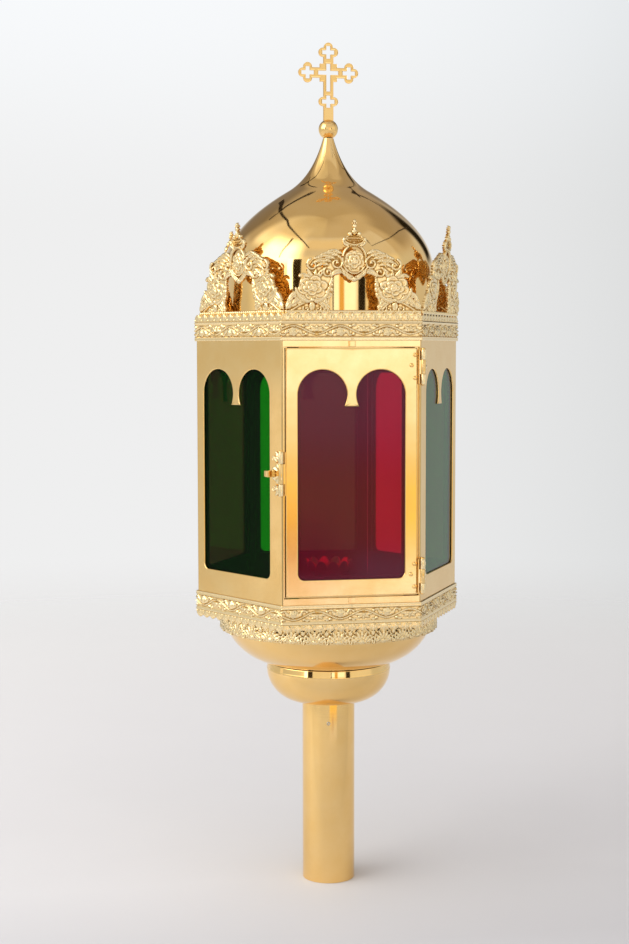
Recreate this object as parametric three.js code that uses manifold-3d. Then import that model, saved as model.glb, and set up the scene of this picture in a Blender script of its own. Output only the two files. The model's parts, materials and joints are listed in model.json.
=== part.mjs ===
// A processional lantern: a six-sided glazed brass case on a pole socket, with pierced
// crests, an onion dome and a cross. One side is a hinged door with a folding hasp.
// Millimetres, +Z up, origin at the centre of the socket's foot, door facing -Y.
import * as THREE from 'three';
import { mergeVertices } from 'three/addons/utils/BufferGeometryUtils.js';
import Module from 'manifold-3d';

const wasm = await Module();
wasm.setup();

// Driving sizes
const gap = 0.3; // clearance between neighbouring pieces
const sheet = 1.2; // brass sheet of the case
const spunWall = 1.3; // wall of the spun dome, bowl and knop

const socketRadius = 22;
const socketWall = 2;
const socketLength = 154.5;
const plugLength = 14;
const plugDepth = 25.5; // underside of the plug below the socket's top
const plugScrewRadius = 1.5;
const plugScrewLength = 10;
const plugScrewTurn = -11; // degrees from the door's direction
const plugScrewSunk = 0.6; // screw's end inside the tube's face
const tieRodRadius = 4;
const tieNutWidth = 13;
const tieNutHeight = 6;
const tieRodEnd = 4; // rod above its nut

const knopLap = 2; // tube inside the knop's throat
const knopRadius = 52;
const knopHeight = 33;
const knopLip = 2; // throat's radius at the root of the swell
const knopRound = 2; // 2 is a quarter ellipse, less is flatter
const bowlHeight = 52.5;
const bowlSwell = 38; // height of its rounded part
const bowlFootRadius = 46;
const bowlRound = 1.8;
const laceWall = 2;
const laceHeight = 24;
const laceInset = 3; // lace band inside the case sheet

const caseRadius = 110; // over the corners of the case
const caseHeight = 244; // sheet height, friezes overlap both ends
const floorRise = 10.5; // underside of the floor above the sheet's lower edge
const floorSheet = 1.5;
const roofSheet = 1.5;
const roofLap = 7; // roof under the dome's foot
const domeInset = 8.25; // roof left flat between the case face and the dome

const friezeWall = 1.5;
const friezeHeight = 21.4;
const friezeBead = 0.8; // how far the edge mouldings stand out of the band
const friezeFoot = 2.6; // plain moulding along one edge
const friezeBand = 10.6; // embossed band
const friezeLine = 1.4; // thin line past the band
const friezeSlope = 0.7; // height over which a moulding rises
const lowerFriezeDrop = 1.5; // below the sheet
const upperFriezeRise = 2.5; // above the sheet

const windowMargin = 12.5; // between the window and the case corner
const windowRise = 39.2; // window above the sheet's lower edge
const windowDrop = 41.4; // arches below the sheet's upper edge
const windowCorner = 5;
const besideDoorShift = 3.2; // the windows beside the door sit this much further from it
const archWebWidth = 7.4; // narrowest part of the drop between the two arches
const archDrop = 9; // how far the drop hangs below the arches' springing
const archDropWidth = 11.8;

const glassThickness = 3;
const glassLap = 5.5; // glass behind the edge of the window, side panels
const doorGlassLap = 2.6;
const retainerSheet = 1.5;
const retainerRim = 5; // width of the frames behind the panes, above and below
const retainerSideRim = 4.2;

const jambWidth = 1.2; // strip left beside the door's opening
const doorSideGap = 1.6; // beside the door, where the leaves pass
const doorEdgeGap = 0.5; // above and below the door
const doorRise = 25.5; // door above the sheet's lower edge
const doorDrop = 24.3; // door below the sheet's upper edge
const doorStopLap = 3.5;
const doorStopShort = 10.6; // stop shorter than the door, at each end
const doorStopRoot = 1; // solder seam back from the opening's edge

const barrelRadius = 2;
const pinRadius = 0.9;
const pinHeadRadius = 1.7;
const pinHeadHeight = 1.2;
const pinTail = 1; // pin below the barrel
const hingeInset = 1.6; // barrels from the door's ends
const hingeLength = 27;
const hingeMiddle = 11.4; // length of the middle knuckle
const haspLength = 34;
const haspMiddle = 16;
const ornamentReach = 12.4;
const ornamentSheet = 1.2;
const ornamentTip = 1.5; // ornament past each end of the barrel
const ornamentNeck = 5.5; // reach between the shell and the leaf tips
const ornamentLeafTip = 7;
const ornamentCorner = 3;
const ornamentShell = 0.65; // half height of the shell, as a share of its reach
const leafSheet = 0.8;
const leafReach = 6.6; // inside leaf from the door's edge
const rivetRadius = 0.9;
const rivetHeadRadius = 1.7;
const rivetHeadHeight = 0.9;
const rivetTail = 0.6;
const rivetStagger = 1.4;
const haspKnobWidth = 5;
const haspKnobReach = 7;
const haspKnobInset = 3.4; // knob from the ornament's edge

const crestHeight = 72;
const crestSheet = 1.6;
const crestLean = 2.5; // degrees outwards
const crestOpeningWidth = 40;
const crestOpeningHeight = 28;
const crestRail = 2;
// From foot to tip: distance in from the crest's corner, height
const crestSteps = [[0, 0], [0, 4], [4, 10], [8, 15], [9, 26], [16, 30], [16, 39], [20, 43], [37, 48], [44, 46.5]];
// The finial over them: half width, height
const crestFinial = [[7.4, 51.5], [8.5, 56], [4.8, 59], [5, 62.5], [1.6, 65.5]];

const domeDrum = 35.7; // straight part above the roof
const domeHeight = 145.3;
const domeNeckRadius = 4.3;
// Curves above the drum as shares of the radius and of the rise; the second one ends at the neck
const domeBelly = [[1, 0], [1, 0.28], [0.638, 0.484], [0.386, 0.602]];
const domeDraw = [[0.386, 0.602], [0.222, 0.678], [0.117, 0.813]];

const ballRadius = 8;
const ballSink = 1; // flat under the ball where it sits on the neck
const crossWidth = 50;
const crossHeight = 66.3;
const crossBar = 8.3;
const crossSheet = 2;
const crossSlot = 3.4;
const crossCentreDrop = 24.3; // crossing below the tip
const crossSink = 4; // foot of the cross inside the ball
const crossLobe = 3.7; // radius of the buds
const crossShoulder = 2.1; // side buds back from the tip, in lobes
const crossLobeOut = 4.5; // side buds off the middle of a bar
const crossStep = 7.2; // half of the square at the crossing
const crossLowerDrop = 23.3; // lower buds below the crossing
const crossSlotAbove = 7.4; // middle slot above and below the crossing
const crossSlotBelow = 15.2;
const crossSlotWide = 16.8;
const budSlotLong = 10.5;
const budSlotShort = 10;
const finialRodRadius = 1.8;
const finialRodDepth = 14; // rod inside the dome's neck

const cupHeight = 26;
const cupFootRadius = 17;
const cupRimRadius = 15.5;
const candleRadius = 11;
const candleDepth = 13.1; // of the bore that holds the candle
const cupWall = 1.4; // at the waist
const cupWaistLow = 11;
const cupWaistHigh = 16;
const cupFootEdge = 3;
const galleryRadius = 19.5;
const galleryHeight = 11;
const galleryPetals = 8;
const galleryOver = 5; // gallery above the cup's rim
const galleryWall = 1.5;
const petalNotch = 3.4; // radius of the gaps between petals

const fineRound = 32; // segments of the large round pieces
const smallRound = 16; // segments of the small ones

// Sizes that follow, stacked from the foot up
const halfTurnOfSide = Math.PI / 6;
const flatShare = Math.cos(halfTurnOfSide);
const caseFace = caseRadius * flatShare; // distance of the outer faces from the axis
const caseInner = caseFace - sheet;
const plugLow = socketLength - plugDepth;
const knopLow = socketLength - knopLap;
const bowlLow = knopLow + knopHeight + gap;
const bowlTop = bowlLow + bowlHeight;
const floorLow = bowlTop + gap;
const floorTop = floorLow + floorSheet;
const caseLow = floorLow - floorRise;
const caseTop = caseLow + caseHeight;
const roofLow = caseTop + gap;
const roofTop = roofLow + roofSheet;
const domeRadius = caseFace - domeInset;
const bowlRadius = domeRadius;
const laceRadius = caseInner - laceInset;
const glassFace = caseInner - gap;
const glassBack = glassFace - glassThickness;
const retainerBack = glassBack - gap - retainerSheet;
const windowLow = caseLow + windowRise;
const windowTop = caseTop - windowDrop;
const windowHalf = caseRadius / 2 - windowMargin;
const doorHalf = caseRadius / 2 - jambWidth - doorSideGap;
const doorLow = caseLow + doorRise;
const doorTop = caseTop - doorDrop;
const upperHingeLow = doorTop - hingeInset - hingeLength;
const lowerHingeLow = doorLow + hingeInset;
const haspLow = (doorLow + doorTop - haspLength) / 2;
const neckTop = roofTop + gap + domeHeight;
const ballCentre = neckTop + gap - ballSink + ballRadius;

const brass = { color: '#d9a648', metalness: 1, roughness: 0.16 };
const castBrass = { color: '#e6c07c', metalness: 1, roughness: 0.3 };
const steel = { color: '#b9b9b4', metalness: 1, roughness: 0.35 };
const redGlass = { color: '#a01a2c', metalness: 0, roughness: 0.05, transparent: true, opacity: 0.6 };
const greenGlass = { color: '#127a1c', metalness: 0, roughness: 0.05, transparent: true, opacity: 0.6 };

const lantern = new THREE.Group();

function add(name, geometry, finish, parent = lantern) {
  const mesh = new THREE.Mesh(geometry, new THREE.MeshStandardMaterial(finish));
  mesh.name = name;
  parent.add(mesh);
  return mesh;
}

// A closed geometry as a solid that can be cut, and back
function toSolid(geometry) {
  const bare = geometry.clone();
  bare.deleteAttribute('normal');
  bare.deleteAttribute('uv');
  const merged = mergeVertices(bare, 1e-4);
  const mesh = new wasm.Mesh({
    numProp: 3,
    vertProperties: new Float32Array(merged.attributes.position.array),
    triVerts: new Uint32Array(merged.index.array),
  });
  return new wasm.Manifold(mesh);
}

function toGeometry(solid) {
  const mesh = solid.getMesh();
  const geometry = new THREE.BufferGeometry();
  geometry.setAttribute('position', new THREE.BufferAttribute(mesh.vertProperties, 3));
  geometry.setIndex(new THREE.BufferAttribute(mesh.triVerts, 1));
  geometry.computeVertexNormals();
  return geometry;
}

function cut(body, ...tools) {
  const left = tools.reduce((solid, tool) => solid.subtract(toSolid(tool)), toSolid(body));
  return toGeometry(left);
}

function join(...pieces) {
  return toGeometry(pieces.map(toSolid).reduce((a, b) => a.add(b)));
}

// A closed profile of [radius, height] points turned about +Z; six segments give a hexagonal ring
function turned(profile, segments = fineRound) {
  const points = profile.map(([r, h]) => new THREE.Vector2(r, h));
  const loop = THREE.ShapeUtils.isClockWise(points) ? [...points].reverse() : points;
  const onAxis = loop.findIndex((p, i) => p.x === 0 && loop[(i + loop.length - 1) % loop.length].x === 0);
  const start = onAxis < 0 ? 0 : onAxis;
  const turnedLoop = [...loop.slice(start), ...loop.slice(0, start)];
  if (onAxis < 0) turnedLoop.push(turnedLoop[0].clone());
  const phase = segments === 6 ? halfTurnOfSide * 3 : 0;
  return new THREE.LatheGeometry(turnedLoop, segments, phase).rotateX(Math.PI / 2);
}

// A shape drawn in plan, standing from one height up
function standing(shape, low, height, curveSegments = 8) {
  const geometry = new THREE.ExtrudeGeometry(shape, { depth: height, bevelEnabled: false, curveSegments });
  return geometry.translate(0, 0, low);
}

// A shape drawn on the front wall (x along it, y up), from one distance off the axis outwards
function upright(shape, inner, depth, curveSegments = 6) {
  const geometry = new THREE.ExtrudeGeometry(shape, { depth, bevelEnabled: false, curveSegments });
  return geometry.rotateX(Math.PI / 2).translate(0, -inner, 0);
}

function rectangle(left, right, low, high) {
  const corners = [[left, low], [right, low], [right, high], [left, high]];
  return new THREE.Shape(corners.map(([x, y]) => new THREE.Vector2(x, y)));
}

function disc(radius, x = 0, y = 0) {
  return new THREE.Shape().absarc(x, y, radius, 0, Math.PI * 2);
}

function hexagon(radius) {
  const corners = Array.from({ length: 6 }, (_, i) => i * halfTurnOfSide * 2);
  return new THREE.Shape(corners.map((a) => new THREE.Vector2(radius * Math.cos(a), radius * Math.sin(a))));
}

// The wall offset of a spun profile: the same outline, moved inwards and read backwards
function shell(outline, wall) {
  const inner = outline.map(([r, h], i) => {
    const [r0, h0] = outline[Math.max(i - 1, 0)];
    const [r1, h1] = outline[Math.min(i + 1, outline.length - 1)];
    const length = Math.hypot(r1 - r0, h1 - h0);
    return [r - (wall * (h1 - h0)) / length, h + (wall * (r1 - r0)) / length];
  });
  return [...outline, ...inner.reverse()];
}

// A swelling quarter round between two radii, from the bottom up
function swell(lowRadius, topRadius, low, height, power, steps) {
  return Array.from({ length: steps + 1 }, (_, i) => {
    const share = i / steps;
    const angle = (share * Math.PI) / 2;
    const rise = 1 - Math.cos(angle) ** (2 / power);
    const out = (1 - (1 - rise) ** power) ** (1 / power);
    return [lowRadius + (topRadius - lowRadius) * out, low + height * rise];
  });
}

function wallGroup(degrees) {
  const group = new THREE.Group();
  group.rotation.z = THREE.MathUtils.degToRad(degrees);
  lantern.add(group);
  return group;
}

const sides = [
  { name: 'front', turn: 0, shift: 0, glass: redGlass },
  { name: 'right', turn: 60, shift: besideDoorShift, glass: greenGlass },
  { name: 'back_right', turn: 120, shift: 0, glass: redGlass },
  { name: 'back', turn: 180, shift: 0, glass: greenGlass },
  { name: 'back_left', turn: 240, shift: 0, glass: redGlass },
  { name: 'left', turn: 300, shift: -besideDoorShift, glass: greenGlass },
];
sides.forEach((side) => {
  side.group = wallGroup(side.turn);
});

// Pole socket: a tube open at the foot, a plug that takes the tie rod, and the plug's screw
function buildSocket() {
  const inner = socketRadius - socketWall;
  const tube = turned([
    [inner, 0],
    [socketRadius, 0],
    [socketRadius, socketLength],
    [inner, socketLength],
  ]);
  const plugRadius = inner - gap;
  const plug = turned([
    [tieRodRadius + gap, plugLow],
    [plugRadius, plugLow],
    [plugRadius, plugLow + plugLength],
    [tieRodRadius + gap, plugLow + plugLength],
  ], smallRound * 2);
  const across = (radius, from, to) => {
    const bar = new THREE.CylinderGeometry(radius, radius, to - from, smallRound);
    return bar.translate(0, -(from + to) / 2, 0)
      .rotateZ(THREE.MathUtils.degToRad(plugScrewTurn))
      .translate(0, 0, plugLow + plugLength / 2);
  };
  const screwTip = socketRadius - plugScrewLength;
  const hole = across(plugScrewRadius + gap, screwTip - gap, socketRadius + 1);
  add('pole_socket', cut(tube, hole), brass);
  add('socket_plug', cut(plug, hole), brass);
  add('socket_screw', across(plugScrewRadius, screwTip, socketRadius - plugScrewSunk), steel);
}

// Knop and bowl: two spun pieces, the smaller one closed round the tube's top
function buildBase() {
  const throat = socketRadius + gap;
  const knop = [[throat, knopLow], ...swell(throat + knopLip, knopRadius, knopLow, knopHeight, knopRound, 7)];
  add('stem_knop', turned(shell(knop, spunWall)), brass);
  const bowl = [
    [tieRodRadius + gap, bowlLow],
    ...swell(bowlFootRadius, bowlRadius, bowlLow, bowlSwell, bowlRound, 8),
    [bowlRadius, bowlTop],
  ];
  const inside = [
    [bowlRadius - spunWall, bowlTop],
    ...swell(bowlFootRadius, bowlRadius - spunWall, bowlLow + spunWall, bowlSwell, bowlRound, 6).reverse(),
    [tieRodRadius + gap, bowlLow + spunWall],
  ];
  add('base_bowl', turned([...bowl, ...inside]), brass);
  add('lace_band', turned([
    [laceRadius - laceWall, bowlTop - laceHeight],
    [laceRadius, bowlTop - laceHeight],
    [laceRadius, bowlTop],
    [laceRadius - laceWall, bowlTop],
  ]), castBrass);
}

// Floor, roof and the rod that clamps cup, floor, bowl, knop and socket together
function buildPlates() {
  const floor = hexagon((caseInner - gap) / flatShare);
  floor.holes.push(disc(tieRodRadius + gap));
  add('floor_plate', standing(floor, floorLow, floorSheet), brass);
  const roof = hexagon(caseRadius);
  roof.holes.push(disc(domeRadius - roofLap));
  add('roof_plate', standing(roof, roofLow, roofSheet, 16), brass);
  const nutLow = floorTop + gap;
  const nutRadius = tieNutWidth / 2 / flatShare;
  const nutBore = (tieRodRadius + gap) / flatShare;
  add('tie_nut', turned([
    [nutBore, nutLow],
    [nutRadius, nutLow],
    [nutRadius, nutLow + tieNutHeight],
    [nutBore, nutLow + tieNutHeight],
  ], 6), steel);
  const rodTop = nutLow + tieNutHeight + tieRodEnd;
  add('tie_rod', turned([
    [0, plugLow + gap],
    [tieRodRadius, plugLow + gap],
    [tieRodRadius, rodTop],
    [0, rodTop],
  ], smallRound), steel);
}

// The embossed strip as a hexagonal ring: flat band between two mouldings
function buildFrieze(name, low, upsideDown) {
  const inner = caseFace + gap;
  const face = inner + friezeWall;
  const edge = face + friezeBead;
  const lineLow = friezeFoot + friezeBand;
  const outline = [
    [inner, 0],
    [edge, friezeSlope],
    [edge, friezeFoot],
    [face, friezeFoot + friezeSlope],
    [face, lineLow],
    [edge, lineLow + friezeSlope],
    [edge, lineLow + friezeSlope + friezeLine],
    [face, lineLow + friezeSlope * 2 + friezeLine],
    [face, friezeHeight],
    [inner, friezeHeight],
  ];
  const ring = outline.map(([r, h]) => [r / flatShare, upsideDown ? low + friezeHeight - h : low + h]);
  add(name, turned(ring, 6), castBrass);
}

// The window outline: two round arches with a flared drop between them
function windowShape() {
  const half = windowHalf;
  const archRadius = (half - archWebWidth / 2) / 2;
  const springing = windowTop - archRadius;
  const archCentre = half - archRadius;
  const shape = new THREE.Shape();
  shape.moveTo(-half + windowCorner, windowLow);
  shape.absarc(half - windowCorner, windowLow + windowCorner, windowCorner, -Math.PI / 2, 0);
  shape.absarc(archCentre, springing, archRadius, 0, Math.PI);
  shape.lineTo(archDropWidth / 2, springing - archDrop);
  shape.lineTo(-archDropWidth / 2, springing - archDrop);
  shape.absarc(-archCentre, springing, archRadius, 0, Math.PI);
  shape.absarc(-half + windowCorner, windowLow + windowCorner, windowCorner, Math.PI, Math.PI * 1.5);
  return shape;
}

const windowCut = upright(windowShape(), caseInner - 1, sheet + 2);

// One side of the case between its two mitred corners
function wallSheet() {
  const mitre = gap / 2 / flatShare;
  const outer = caseRadius / 2 - mitre;
  const inner = caseInner * Math.tan(halfTurnOfSide) - mitre;
  const plan = [[-outer, -caseFace], [outer, -caseFace], [inner, -caseInner], [-inner, -caseInner]];
  return standing(new THREE.Shape(plan.map(([x, y]) => new THREE.Vector2(x, y))), caseLow, caseHeight);
}

function pane(halfWidth, lap) {
  const outline = rectangle(-halfWidth, halfWidth, windowLow - lap, windowTop + lap);
  return upright(outline, glassBack, glassThickness);
}

// A soldered frame that holds a pane against the sheet
function retainer(halfWidth, lap) {
  const low = windowLow - lap;
  const high = windowTop + lap;
  const outline = rectangle(-halfWidth, halfWidth, low, high);
  const inner = halfWidth - retainerSideRim;
  outline.holes.push(rectangle(-inner, inner, low + retainerRim, high - retainerRim));
  return upright(outline, retainerBack, retainerSheet);
}

function buildWalls() {
  for (const side of sides) {
    const isDoor = side.name === 'front';
    const lap = isDoor ? doorGlassLap : glassLap;
    const halfWidth = windowHalf + lap;
    const glass = pane(halfWidth, lap).translate(side.shift, 0, 0);
    const frame = retainer(halfWidth, lap).translate(side.shift, 0, 0);
    const window = windowCut.clone().translate(side.shift, 0, 0);
    add(`${side.name}_glass`, glass, side.glass, side.group);
    add(`${side.name}_glass_frame`, frame, brass, side.group);
    if (!isDoor) add(`${side.name}_panel`, cut(wallSheet(), window), brass, side.group);
  }
}

// Front frame: the sixth side, open for the door, with a stop behind the door's ends
function buildFrontFrame() {
  const halfOpening = doorHalf + doorSideGap;
  const openLow = doorLow - doorEdgeGap;
  const openTop = doorTop + doorEdgeGap;
  const opening = upright(rectangle(-halfOpening, halfOpening, openLow, openTop), caseInner - 1, sheet + 2);
  const stopHalf = doorHalf - doorStopShort;
  const stopBack = caseInner - gap - sheet;
  const stop = (low, high, rootLow, rootHigh) => join(
    upright(rectangle(-stopHalf, stopHalf, low, high), stopBack, sheet),
    upright(rectangle(-stopHalf, stopHalf, rootLow, rootHigh), stopBack, sheet + gap * 2),
  );
  const topEnd = openTop + doorStopLap;
  const lowEnd = openLow - doorStopLap;
  const topStop = stop(openTop - doorStopLap, topEnd, openTop + doorStopRoot, topEnd);
  const lowStop = stop(lowEnd, openLow + doorStopLap, lowEnd, openLow - doorStopRoot);
  add('front_frame', join(cut(wallSheet(), opening), topStop, lowStop), brass);
}

// Hinge parts are drawn in plan about the pin's axis, with the front wall along -X from it
const axisStandOff = barrelRadius + gap; // pin axis off both wall faces at the corner
const axisOut = axisStandOff / flatShare;
const axisX = caseRadius / 2 + axisOut * Math.sin(halfTurnOfSide);
const axisY = -caseFace - axisOut * flatShare;
const boreRadius = pinRadius + gap;

function knuckle(low, high) {
  const ring = disc(barrelRadius);
  ring.holes.push(disc(boreRadius));
  return standing(ring, low, high - low, 6);
}

function boreTool(low, high) {
  return standing(disc(boreRadius), low - 1, high - low + 2, 6);
}

// The leaf inside the door: a web beside the barrel, a leg through the gap and a flap on the door
function insideLeaf(low, high, middleLow, middleHigh) {
  const legOut = doorHalf + (doorSideGap - leafSheet) / 2 - axisX;
  const legIn = legOut + leafSheet;
  const flapFace = -caseInner + gap - axisY;
  const flapEnd = doorHalf - leafReach - axisX;
  const web = new THREE.Shape([
    new THREE.Vector2(0, -leafSheet / 2),
    new THREE.Vector2(0, leafSheet / 2),
    new THREE.Vector2(legIn, leafSheet / 2),
    new THREE.Vector2(legIn, flapFace + leafSheet),
    new THREE.Vector2(flapEnd, flapFace + leafSheet),
    new THREE.Vector2(flapEnd, flapFace),
    new THREE.Vector2(legOut, flapFace),
    new THREE.Vector2(legOut, -leafSheet / 2),
  ].reverse());
  const reach = barrelRadius + 1;
  const beside = rectangle(legIn, reach, -reach, reach);
  const clearLow = standing(beside, low - 1, middleLow + gap / 2 - low + 1);
  const clearHigh = standing(beside, middleHigh - gap / 2, high - middleHigh + 2);
  const plate = cut(standing(web, low, high - low), clearLow, clearHigh);
  const full = join(plate, knuckle(middleLow + gap / 2, middleHigh - gap / 2));
  return cut(full, boreTool(low, high));
}

// The ornamental leaf on the side wall, outline from the axis outwards along the wall
function ornamentShape(low, high, knobHole) {
  const middle = (low + high) / 2;
  const half = (high - low) / 2 + ornamentTip;
  const shellHalf = ornamentReach * ornamentShell;
  const start = -axisOut * Math.sin(halfTurnOfSide);
  const shape = new THREE.Shape();
  shape.moveTo(start, middle - half + ornamentCorner);
  shape.lineTo(ornamentCorner, middle - half);
  shape.lineTo(ornamentLeafTip, middle - half + 2);
  shape.lineTo(ornamentNeck, middle - shellHalf);
  shape.quadraticCurveTo(ornamentReach, middle - shellHalf, ornamentReach, middle);
  shape.quadraticCurveTo(ornamentReach, middle + shellHalf, ornamentNeck, middle + shellHalf);
  shape.lineTo(ornamentLeafTip, middle + half - 2);
  shape.lineTo(ornamentCorner, middle + half);
  shape.lineTo(start, middle + half - ornamentCorner);
  if (knobHole) shape.holes.push(disc(rivetRadius + gap, ornamentReach - haspKnobInset, middle));
  return shape;
}

// Turned into the frame of the pin: the wall runs off at 60 degrees from the front wall
function ornamentLeaf(low, high, middleLow, middleHigh, knobHole) {
  const plate = new THREE.ExtrudeGeometry(ornamentShape(low, high, knobHole), {
    depth: ornamentSheet,
    bevelEnabled: false,
    curveSegments: 5,
  });
  plate.rotateX(Math.PI / 2).translate(axisOut * Math.sin(halfTurnOfSide), axisStandOff - gap, 0);
  const reach = barrelRadius * 2;
  const beside = rectangle(-reach, barrelRadius + gap, -reach, reach);
  const clear = standing(beside, middleLow - gap / 2, middleHigh - middleLow + gap);
  const body = join(plate, knuckle(low, middleLow), knuckle(middleHigh, high));
  const trimmed = cut(body, clear, boreTool(low, high));
  return trimmed.rotateZ(halfTurnOfSide * 2);
}

function pin(low, high) {
  return turned([
    [0, low - pinTail],
    [pinRadius, low - pinTail],
    [pinRadius, high + gap],
    [pinHeadRadius, high + gap],
    [pinHeadRadius * 0.6, high + gap + pinHeadHeight],
    [0, high + gap + pinHeadHeight],
  ], smallRound);
}

// A corner group stands at a pin's axis; the left one is a mirror image of the right one
function cornerGeometry(geometry, isLeft) {
  if (!isLeft) return geometry.translate(axisX, axisY, 0);
  const placed = geometry.translate(axisX, axisY, 0).scale(-1, 1, 1);
  const index = placed.index ? placed.index.array : null;
  const flipped = index ? placed : mergeVertices(placed);
  const faces = flipped.index.array;
  for (let i = 0; i < faces.length; i += 3) [faces[i + 1], faces[i + 2]] = [faces[i + 2], faces[i + 1]];
  flipped.computeVertexNormals();
  return flipped;
}

const rivetLine = doorHalf - leafReach / 2;
const hinges = [
  { name: 'upper', low: upperHingeLow },
  { name: 'lower', low: lowerHingeLow },
];

function rivetPlaces(hinge) {
  const third = hingeLength / 3;
  return [
    { name: 'top', x: rivetLine + rivetStagger, z: hinge.low + third * 2.55 },
    { name: 'middle', x: rivetLine - rivetStagger, z: hinge.low + third * 1.65 },
    { name: 'bottom', x: rivetLine + rivetStagger, z: hinge.low + third * 0.55 },
  ];
}

function buildHinges() {
  for (const hinge of hinges) {
    const high = hinge.low + hingeLength;
    const middleLow = hinge.low + (hingeLength - hingeMiddle) / 2;
    const middleHigh = middleLow + hingeMiddle;
    const leaf = cornerGeometry(insideLeaf(hinge.low, high, middleLow, middleHigh), false);
    const holes = rivetPlaces(hinge).map((place) => rivetBar(place, rivetRadius + gap));
    const ornament = ornamentLeaf(hinge.low, high, middleLow, middleHigh, false);
    add(`${hinge.name}_hinge_ornament`, cornerGeometry(ornament, false), castBrass);
    add(`${hinge.name}_hinge_door_leaf`, cut(leaf, ...holes), brass);
    add(`${hinge.name}_hinge_pin`, cornerGeometry(pin(hinge.low, high), false), brass);
    for (const place of rivetPlaces(hinge)) {
      add(`${hinge.name}_hinge_rivet_${place.name}`, rivet(place), brass);
    }
  }
}

// A plain bar through the door at a rivet, for the holes
function rivetBar(place, radius) {
  const bar = new THREE.CylinderGeometry(radius, radius, sheet + leafSheet + 4, smallRound / 2);
  return bar.translate(place.x, -caseInner, place.z);
}

function rivet(place) {
  const outside = caseFace + gap;
  const inside = caseInner - gap - leafSheet - gap;
  const profile = [
    [0, inside - rivetTail],
    [rivetRadius, inside - rivetTail],
    [rivetRadius, outside],
    [rivetHeadRadius, outside],
    [rivetHeadRadius * 0.7, outside + rivetHeadHeight * 0.7],
    [0, outside + rivetHeadHeight],
  ];
  return turned(profile, smallRound / 2).rotateX(Math.PI / 2).translate(place.x, 0, place.z);
}

// Hasp: an inside leaf on the door's free edge, an ornamental leaf round the corner, and its knob
function buildHasp() {
  const high = haspLow + haspLength;
  const middleLow = haspLow + (haspLength - haspMiddle) / 2;
  const middleHigh = middleLow + haspMiddle;
  const plate = insideLeaf(haspLow, high, middleLow, middleHigh);
  const leaf = ornamentLeaf(haspLow, high, middleLow, middleHigh, true);
  add('hasp_door_leaf', cornerGeometry(plate, true), brass);
  add('hasp_ornament', cornerGeometry(leaf, true), castBrass);
  add('hasp_pin', cornerGeometry(pin(haspLow, high), true), brass);
  const knobAlong = ornamentReach - haspKnobInset + axisOut * Math.sin(halfTurnOfSide);
  const leafFace = axisStandOff - gap - ornamentSheet;
  const half = haspKnobWidth / 2;
  const middle = (haspLow + high) / 2;
  const head = upright(
    rectangle(knobAlong - half, knobAlong + half, middle - half, middle + half),
    -leafFace + gap,
    haspKnobReach,
  );
  const neck = new THREE.CylinderGeometry(rivetRadius, rivetRadius, ornamentSheet + gap * 2, smallRound / 2);
  neck.translate(knobAlong, leafFace + ornamentSheet / 2 - gap, middle);
  const knob = join(head, neck).rotateZ(halfTurnOfSide * 2);
  add('hasp_knob', cornerGeometry(knob, true), brass);
}

function buildDoor() {
  const sheetShape = rectangle(-doorHalf, doorHalf, doorLow, doorTop);
  const holes = hinges.flatMap(rivetPlaces).map((place) => rivetBar(place, rivetRadius + gap));
  add('door_panel', cut(upright(sheetShape, caseInner, sheet), windowCut, ...holes), brass);
}

// Crest: a pierced arch with stepped shoulders and a tip, drawn by its right half
function crestShape() {
  const half = (caseFace - gap - crestSheet) * Math.tan(halfTurnOfSide) - gap;
  const right = [...crestSteps.map(([inset, y]) => [half - inset, y]), ...crestFinial];
  const left = right.map(([x, y]) => [-x, y]).reverse();
  const outline = [...right, [0, crestHeight], ...left].map(([x, y]) => new THREE.Vector2(x, y));
  const shape = new THREE.Shape(outline);
  const open = crestOpeningWidth / 2;
  const top = crestOpeningHeight;
  const hole = new THREE.Path();
  hole.moveTo(-open, crestRail);
  hole.lineTo(open, crestRail);
  hole.quadraticCurveTo(open * 0.7, top * 0.5, open * 0.78, top * 0.8);
  hole.quadraticCurveTo(open * 0.6, top * 1.05, open * 0.25, top);
  hole.lineTo(0, top * 0.86);
  hole.lineTo(-open * 0.25, top);
  hole.quadraticCurveTo(-open * 0.6, top * 1.05, -open * 0.78, top * 0.8);
  hole.quadraticCurveTo(-open * 0.7, top * 0.5, -open, crestRail);
  shape.holes.push(hole);
  return shape;
}

function buildCrests() {
  for (const side of sides) {
    const stand = new THREE.Group();
    stand.position.set(0, -(caseFace - gap), roofTop + gap);
    stand.rotation.x = THREE.MathUtils.degToRad(crestLean);
    side.group.add(stand);
    add(`${side.name}_crest`, upright(crestShape(), -crestSheet, crestSheet, 4), castBrass, stand);
  }
}

// Dome: a straight drum, then two curves that meet on one slope and draw in to the neck
function domeOutline(radius, neck, low, top, steps) {
  const drum = low + domeDrum;
  const rise = top - drum;
  const point = ([out, share]) => new THREE.Vector2(radius * out, drum + rise * share);
  const belly = new THREE.CubicBezierCurve(...domeBelly.map(point));
  const draw = new THREE.CubicBezierCurve(...domeDraw.map(point), new THREE.Vector2(neck, top));
  const curve = [...belly.getPoints(steps), ...draw.getPoints(steps).slice(1)].map((p) => [p.x, p.y]);
  return [[radius, low], ...curve];
}

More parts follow.
